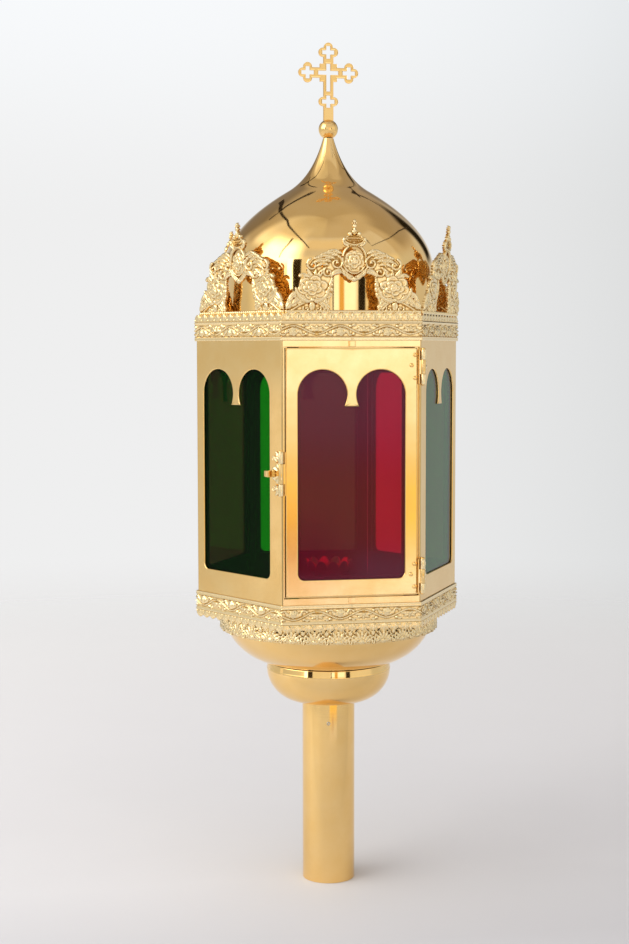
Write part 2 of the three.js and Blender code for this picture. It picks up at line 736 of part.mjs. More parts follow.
function buildDome() {
  const low = roofTop + gap;
  const wall = shell(domeOutline(domeRadius, domeNeckRadius, low, neckTop, 6), spunWall);
  add('dome', turned(wall), brass);
  const rodLow = neckTop - finialRodDepth;
  const footLow = ballCentre + ballRadius - crossSink;
  const rodTop = footLow - gap - 1;
  add('finial_rod', turned([
    [0, rodLow],
    [finialRodRadius, rodLow],
    [finialRodRadius, rodTop],
    [0, rodTop],
  ], smallRound / 2), steel);
  const ball = new THREE.SphereGeometry(ballRadius, 20, 12).rotateX(Math.PI / 2).translate(0, 0, ballCentre);
  const boreSize = finialRodRadius + gap;
  const bore = new THREE.CylinderGeometry(boreSize, boreSize, ballRadius * 2, smallRound);
  bore.rotateX(Math.PI / 2).translate(0, 0, rodTop + gap - ballRadius);
  const slot = upright(
    rectangle(-crossBar / 2 - gap, crossBar / 2 + gap, footLow - gap, footLow + ballRadius),
    -crossSheet / 2 - gap,
    crossSheet + gap * 2,
  );
  const wide = ballRadius + 1;
  const flat = upright(rectangle(-wide, wide, neckTop - wide, neckTop + gap), -wide, wide * 2);
  add('finial_ball', cut(ball, bore, slot, flat), brass);
  buildCross(footLow);
}

// Cross: flat bars with three-lobed ends, pierced by small crosses
function buildCross(low) {
  const plate = (shape) => upright(shape, -crossSheet / 2, crossSheet, 5);
  const half = crossWidth / 2;
  const bar = crossBar / 2;
  const lobe = crossLobe;
  const top = low + crossHeight;
  const centre = top - crossCentreDrop;
  const lower = centre - crossLowerDrop;
  const lobes = [];
  const buds = (x, z, dx, dz) => {
    const backX = x - dx * lobe * crossShoulder;
    const backZ = z - dz * lobe * crossShoulder;
    lobes.push(disc(lobe, x - dx * lobe, z - dz * lobe));
    lobes.push(disc(lobe, backX + dz * crossLobeOut, backZ + dx * crossLobeOut));
    lobes.push(disc(lobe, backX - dz * crossLobeOut, backZ - dx * crossLobeOut));
  };
  buds(0, top, 0, 1);
  buds(half, centre, 1, 0);
  buds(-half, centre, -1, 0);
  lobes.push(disc(lobe, crossLobeOut, lower), disc(lobe, -crossLobeOut, lower));
  const body = [
    rectangle(-bar, bar, low, top - lobe * 2),
    rectangle(-half + lobe * 2, half - lobe * 2, centre - bar, centre + bar),
    rectangle(-crossStep, crossStep, centre - crossStep, centre + crossStep),
    ...lobes,
  ];
  const slotCross = (x, z, wide, high) => [
    rectangle(x - wide / 2, x + wide / 2, z - crossSlot / 2, z + crossSlot / 2),
    rectangle(x - crossSlot / 2, x + crossSlot / 2, z - high / 2, z + high / 2),
  ];
  const budCentre = lobe * crossShoulder;
  const slots = [
    rectangle(-crossSlotWide / 2, crossSlotWide / 2, centre - crossSlot / 2, centre + crossSlot / 2),
    rectangle(-crossSlot / 2, crossSlot / 2, centre - crossSlotBelow, centre + crossSlotAbove),
    ...slotCross(0, top - budCentre, budSlotShort, budSlotLong),
    ...slotCross(half - budCentre, centre, budSlotLong, budSlotShort),
    ...slotCross(-half + budCentre, centre, budSlotLong, budSlotShort),
    ...slotCross(0, lower, budSlotLong, budSlotShort),
  ];
  const tool = (shape) => upright(shape, -crossSheet, crossSheet * 2);
  add('finial_cross', cut(join(...body.map(plate)), ...slots.map(tool)), brass);
}

// Candle holder: a spun foot and cup on the tie rod, with a cast gallery of petals round the rim
function buildCandleHolder() {
  const low = floorTop + gap;
  const nutRoom = tieNutWidth / 2 / flatShare + 1;
  const seat = low + tieNutHeight + gap * 2;
  const top = low + cupHeight;
  const waist = candleRadius + cupWall;
  const boreLow = top - candleDepth;
  add('candle_cup', turned([
    [nutRoom, low],
    [cupFootRadius, low],
    [cupFootRadius - 1, low + cupFootEdge],
    [waist, low + cupWaistLow],
    [waist, low + cupWaistHigh],
    [cupRimRadius, top],
    [candleRadius, top],
    [candleRadius, boreLow],
    [tieRodRadius + gap, boreLow],
    [tieRodRadius + gap, seat],
    [nutRoom, seat],
  ], smallRound * 2), brass);
  const ringInner = cupRimRadius + gap;
  const ringLow = top - galleryHeight + galleryOver;
  const ring = turned([
    [ringInner, ringLow],
    [ringInner + galleryWall, ringLow],
    [galleryRadius + galleryWall / 2, ringLow + galleryHeight],
    [galleryRadius - galleryWall / 2, ringLow + galleryHeight],
    [ringInner, ringLow + 3],
  ], smallRound * 2);
  const notches = Array.from({ length: galleryPetals / 2 }, (_, i) => {
    const notch = new THREE.CylinderGeometry(petalNotch, petalNotch, galleryRadius * 3, smallRound / 2);
    return notch.rotateZ((i * Math.PI * 2) / galleryPetals).translate(0, 0, ringLow + galleryHeight + 0.4);
  });
  add('candle_gallery', cut(ring, ...notches), castBrass);
}

buildSocket();
buildBase();
buildPlates();
buildFrieze('lower_frieze', caseLow - lowerFriezeDrop, true);
buildFrieze('upper_frieze', caseTop + upperFriezeRise - friezeHeight, false);
buildWalls();
buildFrontFrame();
buildDoor();
buildHinges();
buildHasp();
buildCrests();
buildDome();
buildCandleHolder();

export default lantern;
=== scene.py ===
import json
import math
import bpy
import numpy as np
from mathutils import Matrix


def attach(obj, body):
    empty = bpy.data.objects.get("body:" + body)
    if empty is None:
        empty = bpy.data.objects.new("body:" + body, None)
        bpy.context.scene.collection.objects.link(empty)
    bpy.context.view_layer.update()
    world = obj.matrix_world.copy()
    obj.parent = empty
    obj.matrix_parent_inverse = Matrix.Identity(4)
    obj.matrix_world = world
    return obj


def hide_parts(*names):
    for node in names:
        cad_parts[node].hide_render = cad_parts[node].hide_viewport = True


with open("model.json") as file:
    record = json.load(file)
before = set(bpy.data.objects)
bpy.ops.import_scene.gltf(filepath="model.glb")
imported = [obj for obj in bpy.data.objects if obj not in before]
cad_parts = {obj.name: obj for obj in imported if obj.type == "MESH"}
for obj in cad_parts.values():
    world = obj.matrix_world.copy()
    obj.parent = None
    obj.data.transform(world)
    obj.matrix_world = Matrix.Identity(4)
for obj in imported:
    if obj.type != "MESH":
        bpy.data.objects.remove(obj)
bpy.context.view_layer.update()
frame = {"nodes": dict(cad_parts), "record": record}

mm = 0.001
sideTurns = {"front": 0, "right": 60, "back_right": 120, "back": 180, "back_left": 240, "left": 300}
print("frame loaded,", len(frame["nodes"]), "nodes")

# Colours and shader nodes
colourMix = {"data_type": "RGBA"}
colourProduct = {"data_type": "RGBA", "blend_type": "MULTIPLY"}
smoothStep = {"interpolation_type": "SMOOTHSTEP"}


def toLinear(code, factor=1.0):
    # sRGB hex to linear, times a factor: up to 0.04045 a straight line, above it ((c + 0.055) / 1.055) ^ 2.4
    parts = [int(code[i:i + 2], 16) / 255 for i in (1, 3, 5)]
    return [factor * (c / 12.92 if c <= 0.04045 else ((c + 0.055) / 1.055) ** 2.4) for c in parts] + [1.0]


def addNode(tree, kind, settings=None, **inputs):
    # one node: its own settings, then each input set to a value, or linked from a socket or from the first
    # usable output of another node; an input is called by its place (i0, i1) or by its name
    node = tree.nodes.new("ShaderNode" + kind)
    for key, value in (settings or {}).items():
        setattr(node, key, value)
    for key, value in inputs.items():
        socket = node.inputs[int(key[1:]) if key[1:].isdigit() else key.replace("_", " ")]
        if isinstance(value, bpy.types.Node):
            value = next(output for output in value.outputs if output.enabled)
        if isinstance(value, bpy.types.NodeSocket):
            tree.links.new(value, socket)
        else:
            socket.default_value = value
    return node


def newMaterial(name):
    # an empty material, its tree and the Object coordinates that its patterns are read at
    material = bpy.data.materials.new(name)
    material.use_nodes = True
    tree = material.node_tree
    tree.nodes.clear()
    return material, tree, addNode(tree, "TexCoord").outputs["Object"]


def addSurface(tree, **inputs):
    # the shader that all materials share, and the material's output
    addNode(tree, "OutputMaterial", Surface=addNode(tree, "BsdfPrincipled", **inputs))


def setRamp(node, stops):
    # colour ramp from (place, linear colour) pairs
    ramp = node.color_ramp
    while len(ramp.elements) < len(stops):
        ramp.elements.new(0.5)
    for element, (place, colour) in zip(ramp.elements, stops):
        element.position = place
        element.color = colour


# Gold electroplate on spun brass, lathe-polished: a warm mirror, with faint rings left by the spinning tool
spunFinish = {"gold": "#fdd691", "goldDeep": "#fad086", "roughness": 0.06, "haze": 0.03, "ringPitch": 1.7,
              "ringDepth": 0.004}
# Gold electroplate on rolled sheet, buffed flat: softer mirror, long waves in the reflection, buffing haze
sheetFinish = {"gold": "#f8d492", "goldDeep": "#f4cc86", "roughness": 0.1, "haze": 0.04, "wave": 70.0,
               "waveDepth": 0.04}
# Brass inside the case, dull and dark brown: painted shade, so that the panes look deep
insideShadeFinish = {"gold": "#4c3a26", "goldDeep": "#3e2e1d", "roughness": 0.45, "haze": 0.12, "wave": 70.0,
              "waveDepth": 0.04}


def goldMaterial(name, finish):
    material, tree, place = newMaterial(name)
    # buffing haze: patches about 25 mm across, and a fine grain about 1.5 mm across
    patches = addNode(tree, "TexNoise", Vector=place, Scale=1000 / 25, Detail=3.0, Roughness=0.6)
    grain = addNode(tree, "TexNoise", Vector=place, Scale=1000 / 1.5, Detail=2.0)
    mixed = addNode(tree, "Mix", i0=0.3, i2=patches, i3=grain)
    rough = addNode(tree, "MapRange", i0=mixed, i1=0.3, i2=0.75, i3=finish["roughness"] - finish["haze"] / 2,
                    i4=finish["roughness"] + finish["haze"])
    tone = addNode(tree, "MapRange", i0=patches, i1=0.35, i2=0.65)
    colour = addNode(tree, "Mix", colourMix, i0=tone, i6=toLinear(finish["gold"]),
                     i7=toLinear(finish["goldDeep"]))
    if "ringPitch" in finish:
        # tool rings: noise read along the height only, so it is the same all the way round
        along = addNode(tree, "CombineXYZ", i2=addNode(tree, "SeparateXYZ", i0=place).outputs["Z"])
        ring = addNode(tree, "TexNoise", Vector=along, Scale=1000 / finish["ringPitch"], Detail=1.5)
        bump = addNode(tree, "Bump", i0=1.0, i1=finish["ringDepth"] * mm, Height=ring)
    else:
        long = addNode(tree, "TexNoise", Vector=place, Scale=1000 / finish["wave"], Detail=0.0)
        bump = addNode(tree, "Bump", i0=1.0, i1=finish["waveDepth"] * mm, Height=long)
        # the inside of a sheet gets the painted inside shade: dull and dark brown
        insideShadeMask = addNode(tree, "Attribute", {"attribute_name": "insideShadeMask"}).outputs["Fac"]
        colour = addNode(tree, "Mix", colourMix, i0=insideShadeMask, i6=colour, i7=toLinear(insideShadeFinish["gold"]))
        rough = addNode(tree, "Mix", i0=insideShadeMask, i2=rough, i3=insideShadeFinish["roughness"])
    addSurface(tree, Base_Color=colour, Roughness=rough, Normal=bump, Metallic=1.0)
    return material


# Gold electroplate on lost-wax castings: burnished tops, bright with a painted highlight; grooves the buff
# never reached, brown with painted shade
castColoursAndShade = {"top": "#fee8b6", "middle": "#f6d494", "groove": "#a97d40", "roughTop": 0.13,
              "roughGroove": 0.34, "grain": 1.1, "grainDepth": 0.03}


def castMaterial(name):
    c = castColoursAndShade
    material, tree, place = newMaterial(name)
    # relief is 0 in the grooves and 1 on the tops: it places the painted shade and the painted highlight
    relief = addNode(tree, "Attribute", {"attribute_name": "relief"}).outputs["Fac"]
    # investment grain about 1 mm across, drawn a little coarser than the real 0.3 mm so that it shows
    grain = addNode(tree, "TexNoise", Vector=place, Scale=1000 / c["grain"], Detail=3.0)
    lifted = addNode(tree, "Math", {"operation": "MULTIPLY_ADD"}, i0=grain, i1=0.25, i2=-0.12)
    level = addNode(tree, "Math", {"operation": "ADD", "use_clamp": True}, i0=relief, i1=lifted)
    colour = addNode(tree, "ValToRGB", Fac=level)
    # the groove colour is painted shade in the creases over unbuffed plating; the top colour is a painted
    # highlight
    setRamp(colour, [(0.0, toLinear(c["groove"])), (0.4, toLinear(c["middle"])), (0.9, toLinear(c["top"]))])
    rough = addNode(tree, "MapRange", i0=level, i3=c["roughGroove"], i4=c["roughTop"])
    bump = addNode(tree, "Bump", i0=0.6, i1=c["grainDepth"] * mm, Height=grain)
    addSurface(tree, Base_Color=colour, Roughness=rough, Normal=bump, Metallic=1.0)
    return material


# Soda-lime sheet glass coloured in the melt: clear through, tinted, almost flat, with faint drawing waves.
# The left pane's surface is bloomed by candle smoke: it hardly mirrors, so it looks almost black.
glassFinish = {"red": "#d63468", "green": "#38ae3c", "clearRed": 0.9, "clearGreen": 0.99, "iorRed": 1.28,
               "iorGreen": 1.31, "iorBloomed": 1.1, "roughness": 0.015, "wave": 38.0, "waveDepth": 0.03,
               "streak": 60.0, "streakAmount": 0.12, "streakTone": 0.6}


def glassMaterial(name, code, clear, ior):
    g = glassFinish
    material, tree, place = newMaterial(name)
    wave = addNode(tree, "TexNoise", Vector=place, Scale=1000 / g["wave"], Detail=1.0)
    bump = addNode(tree, "Bump", i0=1.0, i1=g["waveDepth"] * mm, Height=wave)
    # streaks in the melt
    streak = addNode(tree, "TexNoise", Vector=place, Scale=1000 / g["streak"], Detail=2.0)
    amount = addNode(tree, "MapRange", i0=streak, i1=0.3, i2=0.7, i3=0.0, i4=g["streakAmount"])
    colour = addNode(tree, "Mix", colourMix, i0=amount, i6=toLinear(code), i7=toLinear(code, g["streakTone"]))
    addSurface(tree, Base_Color=colour, Normal=bump, Transmission_Weight=clear, Roughness=g["roughness"],
               IOR=ior)
    return material


# Turned mild steel: grey, with a satin turning grain
steelFinish = {"steel": "#b5b3ad", "roughness": 0.33, "grain": 0.8}


def steelMaterial(name):
    s = steelFinish
    material, tree, place = newMaterial(name)
    grain = addNode(tree, "TexNoise", Vector=place, Scale=1000 / s["grain"], Detail=2.0)
    rough = addNode(tree, "MapRange", i0=grain, i3=s["roughness"] - 0.08, i4=s["roughness"] + 0.1)
    colour = addNode(tree, "Mix", colourMix, i0=grain, i6=toLinear(s["steel"]), i7=toLinear(s["steel"], 0.85))
    addSurface(tree, Base_Color=colour, Roughness=rough, Metallic=1.0)
    return material


platedSpunBrass = goldMaterial("platedSpunBrass", spunFinish)
platedSheetBrass = goldMaterial("platedSheetBrass", sheetFinish)
# dull dark brown painted shade for the inside of the case
shadedInsideBrass = goldMaterial("shadedInsideBrass", insideShadeFinish)
platedCastBrass = castMaterial("platedCastBrass")
rubyGlass = glassMaterial("rubyGlass", glassFinish["red"], glassFinish["clearRed"], glassFinish["iorRed"])
emeraldGlass, emeraldGlassBloomed = (
    glassMaterial(name, glassFinish["green"], glassFinish["clearGreen"], glassFinish[ior])
    for name, ior in (("emeraldGlass", "iorGreen"), ("emeraldGlassBloomed", "iorBloomed")))
turnedSteel = steelMaterial("turnedSteel")
print("materials made")

# Meshes: every shape below is in mm, in the shared frame


def addPiece(name, points, faces, finish, body, slot, node, sharp=35, relief=None, insideShadeMask=None):
    # node is the CAD node that the piece stands for; relief and the painted inside shade are one value for
    # each point
    mesh = bpy.data.meshes.new(name)
    mesh.from_pydata((np.asarray(points) * mm).tolist(), [], faces)
    mesh.polygons.foreach_set("use_smooth", np.ones(len(mesh.polygons), bool))
    mesh.set_sharp_from_angle(angle=math.radians(sharp))
    for field, values in (("relief", relief), ("insideShadeMask", insideShadeMask)):
        if values is not None:
            attribute = mesh.attributes.new(field, "FLOAT", "POINT")
            attribute.data.foreach_set("value", np.asarray(values, np.float32))
    mesh.materials.append(finish)
    piece = bpy.data.objects.new(name, mesh)
    bpy.context.scene.collection.objects.link(piece)
    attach(piece, body)
    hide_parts(node)


def gridFaces(rows, columns, closeRows=False, closeColumns=False):
    # quads between neighbours of a rows by columns grid of points
    i = np.arange(rows if closeRows else rows - 1)[:, None]
    j = np.arange(columns if closeColumns else columns - 1)[None, :]
    i2, j2 = (i + 1) % rows, (j + 1) % columns
    quads = np.stack([i * columns + j, i * columns + j2, i2 * columns + j2, i2 * columns + j], -1)
    return quads.reshape(-1, 4).tolist()


def mergeParts(*parts):
    # several (points, faces) pairs as one
    points, faces, first = [], [], 0
    for partPoints, partFaces in parts:
        points.append(np.asarray(partPoints))
        faces += [[k + first for k in face] for face in partFaces]
        first += len(partPoints)
    return np.concatenate(points), faces


def softCorners(profile, radius, steps=4):
    # a closed profile whose corners become short curves: (1-t)^2 a + 2 t (1-t) corner + t^2 b,
    # with a and b on the two sides, radius away from the corner or at 0.45 of a shorter side
    profile = np.asarray(profile, float)
    before, after = np.roll(profile, 1, 0) - profile, np.roll(profile, -1, 0) - profile
    lengthBefore = np.linalg.norm(before, axis=1, keepdims=True)
    lengthAfter = np.linalg.norm(after, axis=1, keepdims=True)
    a = profile + before / lengthBefore * np.minimum(radius, lengthBefore * 0.45)
    b = profile + after / lengthAfter * np.minimum(radius, lengthAfter * 0.45)
    t = np.linspace(0, 1, steps + 1)[None, :, None]
    curve = (1 - t) ** 2 * a[:, None] + 2 * t * (1 - t) * profile[:, None] + t ** 2 * b[:, None]
    return curve.reshape(-1, 2)


def anticlockwise(profile):
    # the shoelace sum gives the turning direction of a closed profile
    profile = np.asarray(profile, float)
    x, y = profile.T
    return profile if np.sum(x * np.roll(y, -1) - np.roll(x, -1) * y) > 0 else profile[::-1]


def roundAxis(profile, turns, centre):
    # each (radius, height) of a profile as a ring: x = r sin a, y = -r cos a, z = height
    a = np.linspace(0, 2 * np.pi, turns, endpoint=False)
    r, h = profile[:, :1], profile[:, 1:]
    return np.stack([r * np.sin(a) + centre[0], -r * np.cos(a) + centre[1], h + 0 * a], -1).reshape(-1, 3)


def turned(profile, turns=160, centre=(0, 0)):
    # a closed profile off the axis
    profile = anticlockwise(profile)
    return roundAxis(profile, turns, centre), gridFaces(len(profile), turns, True, True)


def turnedSolid(profile, turns=64, centre=(0, 0)):
    # an open profile whose two ends lie on the axis; each end is one point with a fan of triangles
    profile = np.asarray(profile, float)
    points = roundAxis(profile[1:-1], turns, centre)
    poles = [[centre[0], centre[1], profile[0, 1]], [centre[0], centre[1], profile[-1, 1]]]
    low, last = len(points), len(points) - turns
    faces = gridFaces(len(profile) - 2, turns, False, True)
    faces += [[low, (j + 1) % turns, j] for j in range(turns)]
    faces += [[low + 1, last + j, last + (j + 1) % turns] for j in range(turns)]
    return np.concatenate([points, poles]), faces


def towardsDoor(points, x, z):
    # a lathe piece on the door: its axis turned from upwards to outwards
    return np.stack([points[:, 0] + x, -points[:, 2], points[:, 1] + z], -1)


def bezier(points, steps):
    # cubic curve through four control points: the Bernstein sum of each
    t = np.linspace(0, 1, steps)[:, None]
    p = np.asarray(points, float)
    return (1 - t) ** 3 * p[0] + 3 * t * (1 - t) ** 2 * p[1] + 3 * t ** 2 * (1 - t) * p[2] + t ** 3 * p[3]


def swell(lowRadius, topRadius, low, height, power, steps):
    # a superellipse quarter between two radii, as in the CAD
    angle = np.linspace(0, np.pi / 2, steps + 1)
    rise = 1 - np.cos(angle) ** (2 / power)
    out = (1 - (1 - rise) ** power) ** (1 / power)
    return np.stack([lowRadius + (topRadius - lowRadius) * out, low + height * rise], 1)


def leftNormals(line):
    # unit normals to the left of a line: (-dy, dx) / |d|, with d the difference of a point's two neighbours
    run = np.gradient(np.asarray(line, float), axis=0)
    return np.stack([-run[:, 1], run[:, 0]], 1) / np.linalg.norm(run, axis=1, keepdims=True)


def wallOf(outline, wall):
    # an open profile and its copy moved in by the wall thickness along the normals, as one closed loop
    return np.concatenate([outline, (outline + leftNormals(outline) * wall)[::-1]])


def turnedPlan(x, y, degrees):
    # plan coordinates turned round the lantern's axis
    t = math.radians(degrees)
    return x * math.cos(t) - y * math.sin(t), x * math.sin(t) + y * math.cos(t)


def onWall(u, out, z, side):
    # wall coordinates (along the wall, distance off the axis, height) to the shared frame
    x, y = turnedPlan(u, -out, sideTurns[side])
    return np.stack([x, y, z + 0 * u], -1)


# Spun and turned pieces. The dome's two curves have control points (share of the radius, share of the rise).
spun = {
    "turns": 192, "wall": 1.3, "rodBore": 4.3,
    "domeRadius": 87.013, "domeLow": 474.2, "domeDrum": 35.7, "domeTop": 619.5, "domeNeck": 4.3,
    "drumBand": 6.0,
    "belly": [(1, 0), (1, 0.28), (0.638, 0.484), (0.386, 0.602)],
    "draw": [(0.386, 0.602), (0.222, 0.678), (0.117, 0.813)],
    "bowlLow": 185.8, "bowlFoot": 46.0, "bowlSwell": 38.0, "bowlTop": 238.3, "bowlPower": 1.8, "bowlRim": 8.0,
    "knopLow": 152.5, "knopRadius": 52.0, "knopHeight": 33.25, "knopThroat": 22.3, "knopBand": 4.8,
    "knopWall": 1.0,
    # the knop's edge, which leans back as it rises: (how far in, how far above the band's foot)
    "band": [(0.12, 0.1), (0.14, 0.3), (0.17, 0.6), (0.55, 3.9), (0.58, 4.2), (0.8, 4.7), (1.3, 4.8)],
    "socketRadius": 22.0, "socketWall": 2.0, "socketLength": 154.5, "socketEdge": 0.7,
    # the screw's end shows as a small dimpled dot: (radius, height over the socket)
    "screw": [(0, -1.5), (1.5, -1.5), (1.5, 0.05), (1.2, 0.25), (0.5, -0.1), (0, -0.1)],
    "screwHeight": 136.0, "screwTurn": -11.0,
    "ballRadius": 8.0, "ballCentre": 626.8, "ballSeat": 1.0,
}


def addSpun(name, shape, node, sharp=50):
    addPiece(name, *shape, platedSpunBrass, "root", "spun_brass", node, sharp)


def buildDome():
    s = spun
    radius, foot = s["domeRadius"], s["domeLow"] + s["domeDrum"]
    rise = s["domeTop"] - foot
    belly, draw = ([(radius * out, foot + rise * up) for out, up in s[curve]] for curve in ("belly", "draw"))
    drum = [[radius, s["domeLow"]], [radius, s["domeLow"] + s["drumBand"]], [radius, foot - s["drumBand"]]]
    upper = bezier(draw + [(s["domeNeck"], s["domeTop"])], 34)
    outline = np.concatenate([drum, bezier(belly, 40), upper[1:]])
    addSpun("spunDome", turned(wallOf(outline, s["wall"]), s["turns"]), "dome")


def buildBowl():
    s = spun
    radius, low, wall = s["domeRadius"], s["bowlLow"], s["wall"]
    floor = [[s["rodBore"], low], [s["rodBore"] + 15.7, low], [s["bowlFoot"] - 3, low]]
    outside = swell(s["bowlFoot"], radius, low, s["bowlSwell"], s["bowlPower"], 40)
    rim = [[radius, s["bowlTop"] - s["bowlRim"]], [radius, s["bowlTop"]], [radius - wall, s["bowlTop"]]]
    inside = swell(s["bowlFoot"], radius - wall, low + wall, s["bowlSwell"], s["bowlPower"], 24)[::-1]
    profile = np.concatenate([floor, outside, rim, inside, [[s["rodBore"], low + wall]]])
    addSpun("spunBowl", turned(profile, s["turns"]), "base_bowl")


def buildKnop():
    s = spun
    throat, low, radius, rim = s["knopThroat"], s["knopLow"], s["knopRadius"], s["knopLow"] + s["knopHeight"]
    body = swell(throat + 2, radius, low, s["knopHeight"] - 0.25 - s["knopBand"], 2, 32)
    band = [[radius - back, rim - s["knopBand"] + up] for back, up in s["band"]]
    outline = np.concatenate([[[throat, low], [throat + 1, low]], body, band, [[s["bowlFoot"] - 1.5, rim]]])
    addSpun("spunKnop", turned(wallOf(outline, s["knopWall"]), s["turns"]), "stem_knop", 40)


def buildSocket():
    s = spun
    r, bore, top = s["socketRadius"], s["socketRadius"] - s["socketWall"], s["socketLength"]
    addSpun("poleTube", turned(softCorners([[bore, 0], [r, 0], [r, top], [bore, top]], s["socketEdge"]), 128),
            "pole_socket")
    points, faces = turnedSolid([[out, r + up] for out, up in s["screw"]], 24)
    x, y, z = towardsDoor(points, 0, s["screwHeight"]).T
    x, y = turnedPlan(x, y, s["screwTurn"])
    points = np.stack([x, y, z], -1)
    addPiece("socketScrewEnd", points, faces, turnedSteel, "root", "steel", "socket_screw", 40)


def buildBall():
    # a sphere that is cut flat where it sits on the dome's neck
    s = spun
    angle = np.linspace(-np.pi / 2, np.pi / 2, 49)[1:-1]
    ball = s["ballRadius"] * np.stack([np.cos(angle), np.sin(angle)], 1) + [0, s["ballCentre"]]
    seat, top = s["ballCentre"] - s["ballRadius"] + s["ballSeat"], s["ballCentre"] + s["ballRadius"]
    profile = np.concatenate([[[0, seat]], ball[ball[:, 1] > seat], [[0, top]]])
    addSpun("finialBall", turnedSolid(profile, 72), "finial_ball")


buildDome()
buildBowl()
buildKnop()
buildSocket()
buildBall()
print("spun pieces made")

# Castings are drawn on a flat grid, form over form. In every draw function rise is the form's height over the
# plate and base is the height that it starts from.
plainBase = 0.3


def newCanvas(left, right, low, high, step):
    # the grid: u across, v up, how far inside the outline, height over the plate
    u, v = np.meshgrid(np.linspace(left, right, round((right - left) / step) + 1),
                       np.linspace(low, high, round((high - low) / step) + 1))
    return {"u": u, "v": v, "inside": np.full(u.shape, -9.0), "height": np.zeros(u.shape), "step": step}


def pillow(inside, width):
    # quarter circle rise from the edge: sqrt(1 - (1 - t)^2), flat past the width
    t = np.clip(inside / width, 0, 1)
    return np.sqrt(1 - (1 - t) ** 2)


def layOver(canvas, inside, height, part=Ellipsis):
    # a new form hides what is under it, so its low rim becomes the groove between two forms
    canvas["height"][part] = np.where(inside > 0, height, canvas["height"][part])
    canvas["inside"][part] = np.maximum(canvas["inside"][part], inside)


def cutTo(canvas, inside):
    # what lies outside the new outline goes
    canvas["inside"] = np.minimum(canvas["inside"], inside)


def nearPath(canvas, path, reach):
    # for the grid points near a path: distance to it, share of its length, and distance to its left (signed)
    path = np.asarray(path, float)
    low, high = path.min(0) - reach, path.max(0) + reach
    u, v = canvas["u"], canvas["v"]
    part = np.nonzero((u >= low[0]) & (u <= high[0]) & (v >= low[1]) & (v <= high[1]))
    p = np.stack([u[part], v[part]], -1)[:, None]
    start, along = path[:-1], np.diff(path, axis=0)
    length = np.linalg.norm(along, axis=1)
    t = np.clip(np.sum((p - start) * along, -1) / length ** 2, 0, 1)
    gap = p - start - t[..., None] * along
    distance = np.linalg.norm(gap, axis=-1)
    k = distance.argmin(1)
    row = np.arange(len(k))
    share = (np.concatenate([[0], np.cumsum(length)])[k] + t[row, k] * length[k]) / length.sum()
    side = np.sign(along[k, 0] * gap[row, k, 1] - along[k, 1] * gap[row, k, 0])
    return part, distance[row, k], share, side * distance[row, k]


def drawStem(canvas, rise, path, width, taper=0.4, base=plainBase):
    # a round rod: half width falls from the start to taper times that at the end
    part, distance, share, _ = nearPath(canvas, path, width)
    half = width / 2 * (1 - (1 - taper) * share)
    inside = half - distance
    layOver(canvas, inside, base + rise * (0.55 + 0.45 * (1 - share)) * pillow(inside, half), part)


def drawLeaf(canvas, rise, path, width, lobes=4, depth=0.35, base=plainBase, full=0.75):
    # an acanthus leaf: half width w sin(pi s^full)^0.6, its edge cut into lobes that lean forwards;
    # the blade is rounded, with a sunk midrib and flutes that run along it; without lobes the edge is smooth
    part, distance, share, across = nearPath(canvas, path, width)
    wide = width / 2 * np.sin(np.pi * np.clip(share, 0.02, 0.995) ** full) ** 0.6
    lean = share - 0.3 * np.abs(across) / width
    lobe = np.abs(np.sin(np.pi * lobes * np.clip(lean, 0, 1))) if lobes else np.ones(len(share))
    inside = wide * (1 - 0.8 * depth * (1 - lobe ** 0.7)) - distance
    flute = np.cos(2 * np.pi * np.abs(across) / np.maximum(wide * 0.62, 0.5))
    blade = pillow(inside, width * 0.26) * (0.8 + 0.2 * lobe) * (0.84 - 0.16 * flute)
    layOver(canvas, inside, base + rise * np.clip(blade, 0, 1), part)


def drawFrond(canvas, rise, path, width):
    # a long leaf with a smooth edge, widest past its middle
    drawLeaf(canvas, rise, path, width, 0, full=0.9)


def drawDisc(canvas, rise, u, v, radius, base=plainBase, hollow=0.0, stretch=1.0):
    # a round boss, or with hollow a cup whose rim stands higher than its middle
    distance = np.hypot(canvas["u"] - u, (canvas["v"] - v) / stretch)
    inside = radius - distance
    cup = 1 - hollow * (1 - np.clip(distance / radius, 0, 1) ** 2)
    layOver(canvas, inside, base + rise * pillow(inside, radius * 0.45) * cup)


def drawRing(canvas, rise, u, v, radius, width, base=plainBase, stretch=1.0):
    # a round rod bent to a circle, or with stretch to an oval
    distance = np.abs(np.hypot(canvas["u"] - u, (canvas["v"] - v) / stretch) - radius)
    inside = width / 2 - distance
    layOver(canvas, inside, base + rise * pillow(inside, width / 2))


def drawScroll(canvas, rise, u, v, radius, turns, start, width, hand=1, base=plainBase):
    # a stem on the spiral r = radius (1 - 0.82 t), ending in a bead
    t = np.linspace(0, 1, 46)
    r = radius * (1 - 0.82 * t)
    a = math.radians(start) + hand * 2 * np.pi * turns * t
    drawStem(canvas, rise, np.stack([u + r * np.cos(a), v + r * np.sin(a)], 1), width, 0.6, base)
    eye = 0.1 * radius
    drawDisc(canvas, rise, u + eye * math.cos(a[-1]), v + eye * math.sin(a[-1]), radius * 0.24, base)


